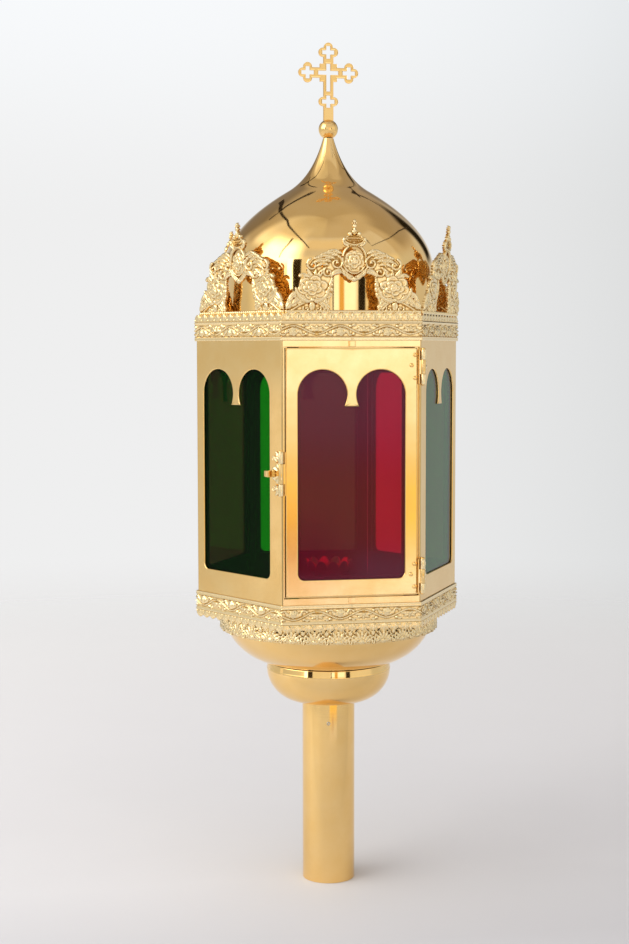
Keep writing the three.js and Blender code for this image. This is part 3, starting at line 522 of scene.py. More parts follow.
def drawRose(canvas, rise, u, v, radius, petals=6, flat=1.0):
    # rings of cupped petals laid over each other from the outside in, each ring higher than the last
    rings = ((0.64, 0.4, petals, 0.0), (0.36, 0.3, petals - 1, 0.4), (0.15, 0.2, 3, 0.75))
    for share, size, count, lift in rings:
        out, start = radius * share, plainBase + rise * lift
        for angle in math.pi / 2 + 2 * np.pi * np.arange(count) / count + share * 2:
            drawDisc(canvas, rise * 0.6, u + out * math.cos(angle), v + flat * out * math.sin(angle),
                     radius * size, start, 0.6, flat)
    drawDisc(canvas, rise * 0.4, u, v, radius * 0.13, plainBase + rise * 0.9, 0.5)


def drawForms(canvas, rise, forms):
    # a list of (kind, share of the rise, the draw function's other values)
    draw = {"stem": drawStem, "leaf": drawLeaf, "frond": drawFrond, "disc": drawDisc, "ring": drawRing,
            "scroll": drawScroll}
    for kind, share, *values in forms:
        draw[kind](canvas, rise * share, *values)


def polygonInside(canvas, corners):
    # distance to a closed polygon, positive inside by the even-odd rule
    corners = np.asarray(corners, float)
    u, v = canvas["u"][..., None], canvas["v"][..., None]
    following = np.roll(corners, -1, 0)
    startU, startV = corners.T
    alongU, alongV = (following - corners).T
    t = np.clip(((u - startU) * alongU + (v - startV) * alongV) / (alongU ** 2 + alongV ** 2), 0, 1)
    distance = np.hypot(u - startU - t * alongU, v - startV - t * alongV).min(-1)
    spans = (startV > v) != (following[:, 1] > v)
    cross = startU + (v - startV) * alongU / np.where(alongV == 0, 1e-9, alongV)
    return distance * np.where((spans & (u < cross)).sum(-1) % 2 == 1, 1, -1)


def reliefOf(height, step, reach=1.2, fullRise=0.55):
    # how far a point stands above the mean of a square window round it: 0 in the grooves, 1 on the tops;
    # the mean is taken down the columns and then along the rows
    steps = max(1, round(reach / step))
    ground = height
    for axis in (0, 1):
        ground = sum(np.roll(ground, k, axis) for k in range(-steps, steps + 1)) / (2 * steps + 1)
    return np.clip(0.7 + (height - ground) / fullRise, 0, 1)


def cellsInside(inside, closeColumns):
    # the grid's cells that lie inside on the mean of their corners, with an empty row above and below;
    # two cells that meet only at a corner get a third one between them
    def toRight(values):
        return np.roll(values, -1, 1)

    pairs = inside[:-1] + inside[1:]
    cells = np.pad(pairs + toRight(pairs) > 0, ((1, 1), (0, 0)))
    if not closeColumns:
        cells[:, -1] = False
    for _ in range(3):
        falling = cells[:-1] & toRight(cells)[1:] & ~toRight(cells)[:-1] & ~cells[1:]
        rising = toRight(cells)[:-1] & cells[1:] & ~cells[:-1] & ~toRight(cells)[1:]
        cells[1:][falling] = True
        cells[:-1][rising] = True
    return cells


def platePoints(canvas, place, back, closeColumns=False, hollow=0.0):
    # the part of the grid that is inside, as a closed plate: front at the drawn height, back at a set depth,
    # which follows the front by the share hollow. Points of the outline are moved along the slope of "inside"
    # to where it is 0, so the cut edge is smooth.
    inside, step = canvas["inside"], canvas["step"]
    columns = inside.shape[1]
    cells = cellsInside(inside, closeColumns)
    inner = cells[1:-1]
    i, j = np.nonzero(inner)
    j2 = (j + 1) % columns
    quads = np.stack([i * columns + j, i * columns + j2, (i + 1) * columns + j2, (i + 1) * columns + j], 1)
    # quads without a neighbour below, to the right, above or to the left have an open edge there
    neighbours = (cells[:-2], np.roll(inner, -1, 1), cells[2:], np.roll(inner, 1, 1))
    edges = np.concatenate([quads[~beside[i, j]][:, [k, (k + 1) % 4]] for k, beside in enumerate(neighbours)])
    rim = np.unique(edges)
    slopeV, slopeU = (slope.ravel()[rim] for slope in np.gradient(inside, step))
    steepness = np.maximum(slopeU ** 2 + slopeV ** 2, 0.3)
    move = np.clip(-inside.ravel()[rim] / steepness, -0.7 * step, 0.7 * step)
    u, v, height = (canvas[key].ravel().copy() for key in ("u", "v", "height"))
    u[rim] += move * slopeU
    v[rim] += move * slopeV
    used = np.unique(quads)
    u, v, height, relief = u[used], v[used], height[used], reliefOf(canvas["height"], step).ravel()[used]
    index = np.full(inside.size, -1)
    index[used] = np.arange(len(used))
    quads, (first, second) = index[quads], index[edges].T
    walls = np.stack([second, first, first + len(used), second + len(used)], 1)
    faces = np.concatenate([quads, quads[:, ::-1] + len(used), walls])
    points = np.concatenate([place(u, v, height), place(u, v, hollow * height - back)])
    return points, faces.tolist(), np.concatenate([relief, 0.4 + hollow * (0.5 * relief - 0.4)])


# Crests: the right half is drawn and mirrored, measured from the middle of the rail's lower edge
crest = {
    "step": 0.42, "height": 72.0, "half": 53.6, "foot": 474.2, "out": 94.963, "sheet": 1.6, "hollow": 0.8,
    "rise": 1.5, "beadPitch": 2.45, "rail": 2.5,
    "rose": (32.3, 19.6), "roseRadius": 11.6, "roseFlat": 0.8,
    # direction and length of the four leaves under the rose
    "sepals": {212: 9.5, 238: 8.6, 302: 8.6, 328: 9.5},
    "medal": 41.6, "medalRadius": 9.2, "medalTall": 1.17, "rosetteDrop": 1.8, "rosetteRadius": 8.3,
    "crescentRadius": 8.4, "crescentEdge": 1.3,
    # the castings were bent and soldered by hand: how far in, how far along, lean in degrees
    "set": {"left": (2.6, 0.6, 2.6), "back_left": (2.5, 0.0, -5.0), "front": (0.6, 1.4, 2.5),
            "right": (-0.9, 0.8, 5.2)},
    "plainSet": (0.0, 0.0, 2.5),
    # the plate left between the scrolls, set back from the silhouette
    "ground": [(19.2, 1), (51, 1), (50.5, 5), (47, 10.5), (44.2, 15), (42.4, 24), (38.5, 28), (34.6, 31),
               (35, 37), (33, 40), (28, 42.4), (20, 45.4), (12, 45.4), (9.4, 44.5), (6.4, 51), (7, 55),
               (5, 58), (2.5, 61), (1, 65), (-3, 65), (-3, 30), (0, 29.6), (4, 31.6), (9, 32), (14, 30),
               (17.5, 26), (19, 17), (21.5, 8)],
    "body": [
        # foot: two broad leaves with a raised rib that part under the rose, and a drop between two curls
        ("leaf", 1, bezier([(32.4, 10), (39, 15), (47, 12.5), (53, 3)], 20), 11, 4, 0.28),
        ("leaf", 1, bezier([(32, 10), (27, 12.5), (22, 9), (19.6, 2)], 16), 8, 3, 0.28),
        ("scroll", 0.8, 37.2, 3.6, 2.7, 1.0, 30, 1.4, -1),
        ("scroll", 0.8, 28.0, 3.4, 2.4, 1.0, 150, 1.3, 1),
        ("leaf", 1, [(32.6, 8.6), (32.8, 5), (32.6, 1.2)], 4.6, 0),
        ("stem", 1.15, bezier([(32.6, 10.4), (39, 8.6), (45, 5), (50.5, 0.8)], 20), 1.9, 0.7),
        ("stem", 1.15, bezier([(32.2, 10.4), (28, 9), (24, 5), (21.4, 0.8)], 16), 1.6, 0.7),
        # outer edge over the foot
        ("leaf", 1, bezier([(41, 13), (45.5, 15.5), (48.5, 13.5), (50.6, 8.6)], 14), 5.6, 0),
        ("leaf", 1, bezier([(38, 11.5), (43, 12.6), (46.4, 10), (48.6, 6)], 14), 4.6, 0),
        # side of the opening: a thin stem with leaf tips
        ("leaf", 0.9, bezier([(20.6, 10), (18.8, 15), (18, 21), (17.2, 27)], 16), 4.4, 4, 0.4),
        ("stem", 0.7, bezier([(20.6, 4), (19.4, 12), (18.6, 20), (17.2, 27)], 18), 1.2, 0.8),
        # shoulder: long smooth fronds fanned outwards
        ("frond", 1, bezier([(9.6, 45.2), (13, 48), (18, 48.4), (22.8, 45.6)], 18), 3.5),
        ("frond", 1, bezier([(12, 43.6), (17, 46.6), (23, 46), (28.2, 43.2)], 18), 3.7),
        ("frond", 1, bezier([(15, 41.6), (20, 44.4), (26.5, 43.6), (32.4, 41.4)], 18), 3.8),
        ("frond", 1, bezier([(18, 39.4), (23, 41.8), (28, 41), (32.6, 38.2)], 18), 3.6),
        ("frond", 1, bezier([(20, 36.8), (23.6, 38.8), (27, 38), (29.6, 35.4)], 18), 3.2),
        # stalks that rise from the rose, and the curl at the shoulder's end
        ("frond", 1, bezier([(30.8, 24), (33, 28), (36, 30.5), (36.4, 35)], 16), 3.6),
        ("frond", 1, bezier([(29.4, 25), (28, 29), (25, 32), (22.6, 35.4)], 16), 3.6),
        ("frond", 1, bezier([(33, 25), (37, 28.6), (41, 30.6), (43.4, 27.6)], 16), 4.2),
        ("frond", 1, bezier([(30, 25.4), (30.2, 29), (30.6, 31), (29.6, 34)], 16), 3.0),
        ("scroll", 1.05, 32.6, 37.0, 4.6, 1.15, 70, 2.1, -1),
        # scrolls between the opening and the medallion
        ("scroll", 1, 20.4, 31.4, 3.9, 1.25, 60, 1.8, -1),
        ("scroll", 1.05, 13.8, 38.6, 5.2, 1.2, 110, 2.2, 1),
        ("leaf", 1, bezier([(8.5, 31.6), (12.5, 33.4), (16.5, 31.2), (18.2, 27.4)], 14), 4.2, 0),
        # the two leaves that hold the rose
        ("leaf", 1, bezier([(32.6, 10.2), (38, 9.6), (43.4, 13), (45.8, 20)], 16), 6.0, 0),
        ("leaf", 1, bezier([(32.4, 10.2), (27, 9.8), (21.6, 13), (19.6, 19)], 16), 6.0, 0),
    ],
    # the bead under the rose, and the medallion's pendant
    "pendant": [
        ("disc", 1, 32.5, 10.3, 1.5, 0.5),
        ("leaf", 1, bezier([(9.8, 34.4), (7.5, 30.5), (3, 27.8), (-0.8, 23.8)], 18), 4.6, 3, 0.3),
        ("stem", 1.1, bezier([(10.5, 35.5), (7, 31), (3, 28.8), (-0.6, 27.2)], 16), 1.4, 0.9),
        ("disc", 1, 0, 26.4, 1.5, 0.5),
    ],
    # crown: leaves, pierced oval, three balls, stalk and tip
    "crown": [
        ("leaf", 1, bezier([(4.6, 51.4), (7.6, 53.2), (8.8, 55.6), (7.9, 58.4)], 12), 3.4, 0),
        ("stem", 1, [(0, 52.4), (4, 53), (7.4, 54.8)], 1.7, 0.8),
        ("ring", 1, 0, 57.4, 6.5, 1.7, 0.4, 0.36),
        ("stem", 0.7, [(-0.3, 57.4), (6, 57.4)], 0.9, 0.9),
        ("disc", 1, 3.6, 60.8, 1.6, 0.4),
        ("disc", 1, 0, 62.2, 2.1, 0.4),
        ("stem", 1, [(0, 62), (0, 71.4)], 1.7, 0.6),
        ("disc", 0.9, 0, 66.7, 1.6, 0.4),
        ("disc", 0.8, 0, 70.2, 1.1, 0.4),
        ("disc", 0.6, 1.5, 69.0, 0.6, 0.4),
    ],
    # see-through places in the eyes of the curls and between the leaves: centre and radius
    "holes": [(31.9, 36.4, 1.1), (20.2, 30.6, 0.9), (13.2, 37.6, 0.8), (35.4, 7.0, 0.8), (29.6, 6.8, 0.7),
              (47.2, 11.4, 0.7), (25.0, 36.2, 0.8), (40.2, 27.6, 0.8), (26.6, 30.8, 0.8), (4.6, 31.4, 0.6),
              (9.6, 43.2, 0.8), (0, 54.2, 0.8)],
}


def drawRail(canvas):
    # the rail along the foot: a flat strip with a row of beads
    c, u, v = crest, canvas["u"], canvas["v"]
    strip = np.minimum(np.minimum(c["rail"] - v, v + 0.2), c["half"] - u)
    layOver(canvas, strip, 0.3 + 0.3 * pillow(strip, 0.4))
    across = (u / c["beadPitch"] % 1 - 0.5) * c["beadPitch"]
    beads = np.minimum(0.9 - np.hypot(across, v - 1.35), c["half"] - u)
    layOver(canvas, beads, 0.45 + 0.7 * pillow(beads, 0.8))


def drawCrest():
    c = crest
    canvas = newCanvas(0, c["half"] + 0.4, 0, c["height"] + 0.4, c["step"])
    u, v, rise = canvas["u"], canvas["v"], c["rise"]
    layOver(canvas, polygonInside(canvas, c["ground"]), 0.1 + 0 * u)
    drawForms(canvas, rise, c["body"])
    roseU, roseV = c["rose"]
    for degrees, length in c["sepals"].items():
        a = math.radians(degrees)
        sepal = [(roseU + reach * math.cos(a), roseV + reach * math.sin(a)) for reach in (2, length)]
        drawLeaf(canvas, rise, sepal, 6, 0)
    drawRose(canvas, rise * 1.3, roseU, roseV, c["roseRadius"], 6, c["roseFlat"])
    drawForms(canvas, rise, c["pendant"])
    # medallion: a flat field, an oval ring and the rosette that fills it
    medal, radius, tall = c["medal"], c["medalRadius"], c["medalTall"]
    drawDisc(canvas, 0.4, 0, medal, radius + 0.6, 0.1, 0.0, tall)
    drawRing(canvas, rise * 1.15, 0, medal, radius, 1.6, 0.4, tall)
    drawRose(canvas, rise * 1.25, 0, medal - c["rosetteDrop"], c["rosetteRadius"])
    drawForms(canvas, rise, c["crown"])
    drawRail(canvas)
    for holeU, holeV, holeRadius in c["holes"]:
        cutTo(canvas, np.hypot(u - holeU, v - holeV) - holeRadius)
    # a crescent is cut out between the ring and the top of the rosette
    overRosette = c["crescentRadius"] - np.hypot(u, v - medal + c["rosetteDrop"])
    cutTo(canvas, np.maximum(np.hypot(u, (v - medal) / tall) - radius + c["crescentEdge"], overRosette))
    cutTo(canvas, c["half"] - u)
    # the right half and its reflection in u = 0
    whole = {key: np.concatenate([canvas[key][:, :0:-1], canvas[key]], 1)
             for key in ("v", "inside", "height")}
    return {**whole, "u": np.concatenate([-u[:, :0:-1], u], 1), "step": c["step"]}


def buildCrests():
    c = crest
    canvas = drawCrest()
    for side in sideTurns:
        inset, along, lean = c["set"].get(side, c["plainSet"])
        lean = math.radians(lean)

        def place(u, v, h):
            return onWall(u + along, c["out"] - inset + v * math.sin(lean) + h * math.cos(lean),
                          c["foot"] + v * math.cos(lean) - h * math.sin(lean), side)

        points, faces, relief = platePoints(canvas, place, c["sheet"], hollow=c["hollow"])
        addPiece(side + "CrestCasting", points, faces, platedCastBrass, "root", "cast_brass",
                 side + "_crest", 70, relief)
    print("crests made,", len(faces), "faces each")


buildCrests()


def offsetLoop(loop, distance):
    # each point of an anticlockwise closed loop moved along its outward normal
    along = np.roll(loop, -1, 0) - np.roll(loop, 1, 0)
    normal = np.stack([along[:, 1], -along[:, 0]], 1) / np.linalg.norm(along, axis=1, keepdims=True)
    return loop + distance * normal


def prism(profile, low, high, edge=0.15):
    # a plan drawn up from low to high, its two rims taken in by a small bevel
    profile = anticlockwise(profile)
    count = len(profile)
    levels = ((low, -edge), (low + edge, 0), (high - edge, 0), (high, -edge))
    loops = [np.column_stack([offsetLoop(profile, move), np.full(count, z)]) for z, move in levels]
    caps = [list(range(count))[::-1], list(range(3 * count, 4 * count))]
    faces = gridFaces(4, count, False, True) + caps
    return np.concatenate(loops), faces


def softBox(along, out, height, side, radius=0.3):
    # a rounded bar on a side of the case: ranges along the wall, off the axis and in height
    (start, end), (near, far) = along, out
    plan = softCorners([[start, -far], [end, -far], [end, -near], [start, -near]], radius)
    points, faces = prism(plan, *height, radius * 0.7)
    return onWall(points[:, 0], -points[:, 1], points[:, 2], side), faces


# Case sheets: each side is one sheet, bent half way round the corner where it meets the next
sheet = {
    "face": 95.263, "thick": 1.2, "low": 228.1, "top": 472.1, "bend": 1.8, "frameBend": 0.9, "seam": 0.2,
    "windowHalf": 42.5, "sill": 267.3, "springing": 411.3, "archRadius": 19.4, "sillCorner": 5.0, "ring": 2.2,
    "dropHalf": 5.9, "dropLow": 402.3, "windowEdge": 0.8,
    # the windows beside the door sit further back from it
    "shift": {"left": -3.2, "right": 3.2},
    "doorHalf": 52.2, "doorLow": 253.6, "doorTop": 447.8, "doorEdge": 0.6,
    "openHalf": 53.8, "openLow": 253.1, "openTop": 448.3, "openEdge": 0.3,
    "tabHalf": 2.9, "tabReach": 4.6, "tabRise": 0.55, "stopHalf": 41.6, "stopLap": 3.5, "stopGap": 0.3,
    "stripSide": 54.3, "stripFlange": 50.6, "stripFront": 94.3, "stripBack": 91.6, "stripThick": 0.7,
    "stripLap": 3.0,
}
cornerReach = math.tan(math.pi / 6)


def windowTable():
    # one row per point of the outline: the point, its partner on a ring inside the metal, and how its partner
    # on the rim follows from the sheet's size: u = a + b half, z = c + d low + e top
    s = sheet
    half, low, springing = s["windowHalf"], s["sill"] + s["sillCorner"], s["springing"]
    radius, away = s["archRadius"], s["ring"]
    arch, flat = half - radius, half - s["sillCorner"]
    rows = []

    def stretch(share, outline, ring, rim):
        columns = [*outline, *ring, *rim]
        rows.append(np.stack([np.broadcast_to(np.asarray(c, float), share.shape) for c in columns], 1))

    def arcs(centreU, centreZ, radius, start, end, share):
        # the outline's arc and the ring's arc round the same centre
        a = np.radians(start + (end - start) * share)
        return [(centreU + r * np.cos(a), centreZ + r * np.sin(a)) for r in (radius, radius + away)]

    def shares(count):
        # from 0 up to but not including 1; and the same cut into an early half and a late half
        q = np.arange(count) / count
        return q, np.minimum(2 * q, 1), np.maximum(2 * q - 1, 0)

    q, _, _ = shares(5)
    stretch(q, (flat * q, s["sill"]), (flat * q, s["sill"] - away), (flat * q, 0, 0, 1, 0))
    q, early, late = shares(12)
    stretch(q, *arcs(flat, low, s["sillCorner"], -90, 0, q),
            (flat * (1 - early), early, low * late, 1 - late, 0))
    height = low + (springing - low) * q
    stretch(q, (half, height), (half + away, height), (0, 1, height, 0, 0))
    q, early, late = shares(24)
    stretch(q, *arcs(arch, springing, radius, 0, 90, q),
            (arch * late, 1 - late, springing * (1 - early), 0, early))
    stretch(q, *arcs(arch, springing, radius, 90, 180, q), (arch + (1.5 - arch) * q, 0, 0, 0, 1))
    # the drop between the arches flares towards its foot
    q, _, _ = shares(10)
    web = half - 2 * radius
    height = springing + (s["dropLow"] - springing) * q
    stretch(q, (web + (s["dropHalf"] - web) * q ** 1.8, height), (1.5 - q, height + away * q),
            (1.5 - q, 0, 0, 0, 1))
    q = np.linspace(0, 1, 5)
    stretch(q, (s["dropHalf"] * (1 - q), s["dropLow"]), (0.5 * (1 - q), s["dropLow"] + away),
            (0.5 * (1 - q), 0, 0, 0, 1))
    right = np.concatenate(rows)
    left = right[-2:0:-1] * np.array([-1, 1, -1, 1, -1, -1, 1, 1, 1])
    return np.concatenate([right, left])


def rimLoop(table, half, low, top):
    # the rim of a sheet of this half width, lower and upper edge, by the table's formula
    a, b, c, d, e = table[:, 4:].T
    return np.stack([a + b * half, c + d * low + e * top], 1)


def bentRim(table, radius):
    # the rim of a side: the face runs into a bend of 30 degrees, whose end meets the next side's bend
    s = sheet
    middle, inner = s["face"] - radius, s["face"] - s["thick"]
    bend = [(middle * cornerReach + radius * math.sin(a), middle + radius * math.cos(a))
            for a in np.radians([0, 7.5, 15, 22.5, 30])]
    return [(rimLoop(table, half - s["seam"], s["low"], s["top"]), out)
            for half, out in bend + [(inner * cornerReach, inner)]]


def quarterRound(radius):
    # how far in and how far back the points of a rounded edge lie: radius (1 - sin a) and radius (1 - cos a)
    angles = np.radians([0, 22.5, 45, 67.5, 90])
    return [(radius * (1 - math.sin(a)), radius * (1 - math.cos(a))) for a in angles]


def roundRim(table, half, low, top, radius):
    # the rim of the door: a quarter round on all four edges
    s = sheet
    loops = [(rimLoop(table, half - inset, low + inset, top - inset), s["face"] - sunk)
             for inset, sunk in quarterRound(radius)]
    return loops + [(rimLoop(table, half, low, top), s["face"] - s["thick"])]


def openSheet(opening, ring, rim, edge, side):
    # a sheet with an opening, as closed loops: face from rim to opening, round its edge, and back inside
    face, back = sheet["face"], sheet["face"] - sheet["thick"]
    flatRim = rim[0][0]
    loops = [(flatRim, face), (ring - (ring - flatRim) * 0.93, face), (ring, face),
             (offsetLoop(opening, edge + 0.15), face)]
    loops += [(offsetLoop(opening, inset), face - sunk) for inset, sunk in quarterRound(edge)]
    loops += [(opening, back), (ring, back)] + rim[:0:-1]
    points = np.concatenate([onWall(loop[:, 0], out, loop[:, 1], side) for loop, out in loops])
    # the loops at the back of the sheet get the painted inside shade
    insideShadeMask = np.repeat([float(out < back + 0.01) for loop, out in loops], len(opening))
    return points, gridFaces(len(loops), len(opening), True, True), insideShadeMask


def frameExtras():
    # the butted seam of each rail is covered by a small tab, and a stop is soldered behind it; an angle strip
    # behind each side gap keeps light from passing beside the door
    s = sheet
    back = s["face"] - s["thick"] - s["stopGap"]
    parts = []
    for edge, way in ((s["openTop"], 1), (s["openLow"], -1)):
        tab = sorted((edge + way * 0.3, edge + way * s["tabReach"]))
        stop = (edge - s["stopLap"], edge + s["stopLap"])
        tabOut = (s["face"] - 0.1, s["face"] + s["tabRise"])
        parts.append(softBox((-s["tabHalf"], s["tabHalf"]), tabOut, tab, "front", 0.25))
        parts.append(softBox((-s["stopHalf"], s["stopHalf"]), (back - s["thick"], back), stop, "front", 0.2))
    x, flange, front, y, thick = (s["strip" + end] for end in ("Side", "Flange", "Front", "Back", "Thick"))
    strip = np.array([[x, -front], [x, -y], [flange, -y], [flange, -y - thick], [x - thick, -y - thick],
                      [x - thick, -front]])
    low, high = s["openLow"] - s["stripLap"], s["openTop"] + s["stripLap"]
    parts += [prism(strip * [hand, 1], low, high, 0.1) for hand in (-1, 1)]
    return parts


def addSheet(name, points, faces, insideShadeMask, body, node):
    # points beyond those that the painted inside shade covers get plain plated gold
    insideShadeMask = np.append(insideShadeMask, np.zeros(len(points) - len(insideShadeMask)))
    addPiece(name, points, faces, platedSheetBrass, body, "sheet_brass", node, 40, insideShadeMask=insideShadeMask)


def buildSheets():
    s = sheet
    table = windowTable()
    window, ring = table[:, :2], table[:, 2:4]
    for side in sideTurns:
        if side != "front":
            shift = np.array([s["shift"].get(side, 0.0), 0.0])
            shape = openSheet(window + shift, ring + shift, bentRim(table, s["bend"]), s["windowEdge"], side)
            addSheet(side + "CaseSheet", *shape, "root", side + "_panel")
    rim = roundRim(table, s["doorHalf"], s["doorLow"], s["doorTop"], s["doorEdge"])
    addSheet("doorSheet", *openSheet(window, ring, rim, s["windowEdge"], "front"), "door", "door_panel")
    opening = rimLoop(table, s["openHalf"], s["openLow"], s["openTop"])
    ring = rimLoop(table, s["openHalf"] + 0.4, s["openLow"] - 4, s["openTop"] + 4)
    points, faces, insideShadeMask = openSheet(opening, ring, bentRim(table, s["frameBend"]), s["openEdge"], "front")
    addSheet("frontFrameSheet", *mergeParts((points, faces), *frameExtras()), insideShadeMask, "root", "front_frame")
    print("case sheets made")


buildSheets()

# Friezes: one embossed strip, used upright above the case and upside down below it
frieze = {
    "columns": 204, "step": 0.5, "face": 96.1, "inner": 95.35, "tall": 21.4, "drawn": 22.0, "joint": 0.35,
    "upperLow": 453.2, "lowerTop": 248.0, "waves": 3, "swing": 3.1, "middle": 8.5, "rise": 0.95,
    "teeth": 13, "toothFoot": 16.2, "toothDepth": 2.5,
    # half-round mouldings: from, to, height
    "mouldings": [(0.0, 0.9, 0.45), (2.6, 3.3, 0.6), (13.7, 14.3, 0.4), (14.4, 15.7, 0.75)],
    # flat steps: from, to, height; the second is the sunk ground of the band
    "flats": [(0.9, 2.6, 0.35), (3.4, 13.6, -0.25)],
    # a cluster's leaves: direction and length
    "cluster": [(90, 4.4), (38, 5.6), (142, 5.6), (-4, 6.6), (184, 6.6)],
}


def halfRound(v, low, high, rise):
    # rise sqrt(1 - t^2), with t from -1 to 1 between the two heights
    t = np.clip((v - low) / (high - low), 0, 1) * 2 - 1
    return rise * np.sqrt(1 - t ** 2)


def friezeCanvas(length):
    # the upper rows follow the toothed edge: low between two leaves, high at a leaf's tip
    f = frieze
    u = np.arange(f["columns"]) * length / f["columns"]
    saw = np.abs(u / length * f["teeth"] % 1 * 2 - 1)
    edge = f["drawn"] - f["toothDepth"] * saw ** 1.3
    plain = np.tile(np.linspace(0, f["toothFoot"], 34)[:, None], (1, len(u)))
    v = np.concatenate([plain, f["toothFoot"] + (edge - f["toothFoot"]) * np.linspace(0, 1, 11)[1:, None]])
    height = sum(halfRound(v, *moulding) for moulding in f["mouldings"])
    height += sum(rise * ((v > low) & (v < high)) for low, high, rise in f["flats"])
    inside = np.full(v.shape, -9.0)
    return {"u": np.tile(u, (len(v), 1)), "v": v, "inside": inside, "height": height, "step": f["step"]}


def drawVine(canvas, length):
    # a sine wave stem, with a flower or a cluster of leaves in each half wave and berries by the crossings
    f = frieze
    rise, middle, wave = f["rise"], f["middle"], length / f["waves"]
    path = np.linspace(-wave / 4, length + wave / 4, 220)
    stem = np.stack([path, middle + f["swing"] * np.sin(2 * np.pi * path / wave)], 1)
    drawStem(canvas, rise, stem, 1.15, 0.95, 0.0)
    for k in range(2 * f["waves"]):
        centre = wave * (k + 0.5) / 2
        way = 1 if k % 2 else -1
        bud = middle + way * 1.6
        if k % 2:
            for degrees, reach in f["cluster"]:
                a = math.radians(degrees)
                tip = (centre + reach * math.cos(a), bud - 1.4 + reach * 0.72 * math.sin(a))
                drawLeaf(canvas, rise, [(centre, bud - 1.8), tip], 2.9, 3, 0.3, 0.0)
            drawDisc(canvas, rise, centre, bud - 1.6, 1.2)
        else:
            for side in (-1, 1):
                leaf = [(centre + side * out, bud + up)
                        for out, up in ((1, 0), (3.2, 2.2), (5.4, 1), (6.8, -1.9))]
                drawLeaf(canvas, rise, bezier(leaf, 10), 3.3, 3, 0.3, 0.0)
            drawRose(canvas, rise * 0.9, centre, bud + 0.2, 3.5)
        for side in (-1, 1):
            drawDisc(canvas, rise * 0.9, centre + side * 8.0, middle - way * 3.0, 1.0, 0.1)
            tendril = [(centre + side * out, middle + way * up)
                       for out, up in ((6.4, 3.4), (7.4, 4.3), (8.8, 4.2), (9.6, 3.2))]
            drawLeaf(canvas, rise * 0.8, bezier(tendril, 8), 1.8, 2, 0.3, 0.0)


def drawTeeth(canvas, length):
    # three small leaves on each tooth, a small bead between two of them
    f = frieze
    rise, pitch, foot = f["rise"], length / f["teeth"], f["toothFoot"]
    for k in range(f["teeth"] + 1):
        middle = pitch * (k + 0.5)
        if k < f["teeth"]:
            for side in (-1, 1):
                leaf = [(middle, foot), (middle + side * pitch * 0.3, 20.4)]
                drawLeaf(canvas, rise * 0.35, leaf, pitch * 0.3, 0, base=0.0)
            leaf = [(middle, foot), (middle, 22.4)]
            drawLeaf(canvas, rise * 0.45, leaf, pitch * 0.26, 0, base=0.0, full=0.9)
        drawDisc(canvas, rise * 0.45, pitch * k, foot + 0.8, 0.7, 0.05)


def buildFriezes():
    f = frieze
    length = 2 * f["face"] * cornerReach
    canvas = friezeCanvas(length)
    drawVine(canvas, length)
    drawTeeth(canvas, length)
    relief = reliefOf(canvas["height"], f["step"])
    v, height, relief = (np.tile(values, (1, 6)) for values in (canvas["v"], canvas["height"], relief))
    # the strip's two ends butt in the middle of the door side
    height[:, f["columns"] // 2] -= f["joint"]
    columns = v.shape[1]
    back = np.full((1, columns), f["inner"])
    out = np.concatenate([f["face"] + height, back, back])
    rows = np.concatenate([v, v[-1:], v[:1]]) * f["tall"] / f["drawn"]
    relief = np.concatenate([relief, np.full((2, columns), 0.3)]).ravel()
    turn = np.radians(60 * (np.arange(columns) // f["columns"]))
    u = out * cornerReach * (np.arange(columns) % f["columns"] / f["columns"] * 2 - 1)
    x, y = u * np.cos(turn) + out * np.sin(turn), u * np.sin(turn) - out * np.cos(turn)
    faces = gridFaces(len(rows), columns, True, True)
    for name, z, quads in (("upper", f["upperLow"] + rows, faces),
                           ("lower", f["lowerTop"] - rows, [face[::-1] for face in faces])):
        points = np.stack([x, y, z], -1).reshape(-1, 3)
        addPiece(name + "FriezeCasting", points, quads, platedCastBrass, "root", "cast_brass",
                 name + "_frieze", 75, relief)
    print("friezes made,", len(faces), "faces each")


buildFriezes()

# Lace band: a pierced palmette strip round the rim of the base bowl
lace = {
    "repeats": 30, "columns": 32, "radius": 89.9, "wall": 0.8, "low": 214.3, "tall": 24.0, "rise": 1.05,
    "palmette": [(22, 8.6), (158, 8.6), (44, 9.4), (136, 9.4), (67, 10.2), (113, 10.2), (90, 10.8)],
    "beadHeight": 13.6, "beadRadius": 1.2, "beadsPerRepeat": 4,
}


def drawPalmette(canvas, centre):
    # seven narrow leaves fanned out from a small rose
    rise = lace["rise"]
    for degrees, reach in lace["palmette"]:
        a = math.radians(degrees)
        leaf = [(centre + 1.6 * math.cos(a), 1.2 + 1.4 * math.sin(a)),
                (centre + reach * math.cos(a), 1.0 + reach * math.sin(a))]
        drawLeaf(canvas, rise * 0.85, leaf, 2.4, 3, 0.3, 0.25, 1.3)
    drawRose(canvas, rise * 0.9, centre, 2.6, 2.6, 5)


def drawLyre(canvas, foot, width):
    # what stands between two palmettes: two curls, two stalks, a leaf, a small ring, and the bead row above
    rise = lace["rise"]
    for side in (-1, 1):
        stalk = [(foot + side * out, up) for out, up in ((0.7, 1.0), (1.2, 6), (2.5, 9), (6.4, 12.2))]
        drawScroll(canvas, rise, foot + side * 3.0, 3.9, 2.3, 1.2, 90 - side * 60, 1.0, -side)
        drawStem(canvas, rise, bezier(stalk, 14), 1.2, 0.7)
    drawForms(canvas, rise, [("leaf", 1, [(foot, 7.2), (foot, 12.4)], 3.0, 3, 0.3),
                             ("ring", 1, foot, 1.9, 1.2, 0.9), ("disc", 1, foot, 5.9, 1.0)])
    for along in np.arange(lace["beadsPerRepeat"]) * width / lace["beadsPerRepeat"]:
        drawDisc(canvas, rise, foot + along, lace["beadHeight"], lace["beadRadius"])


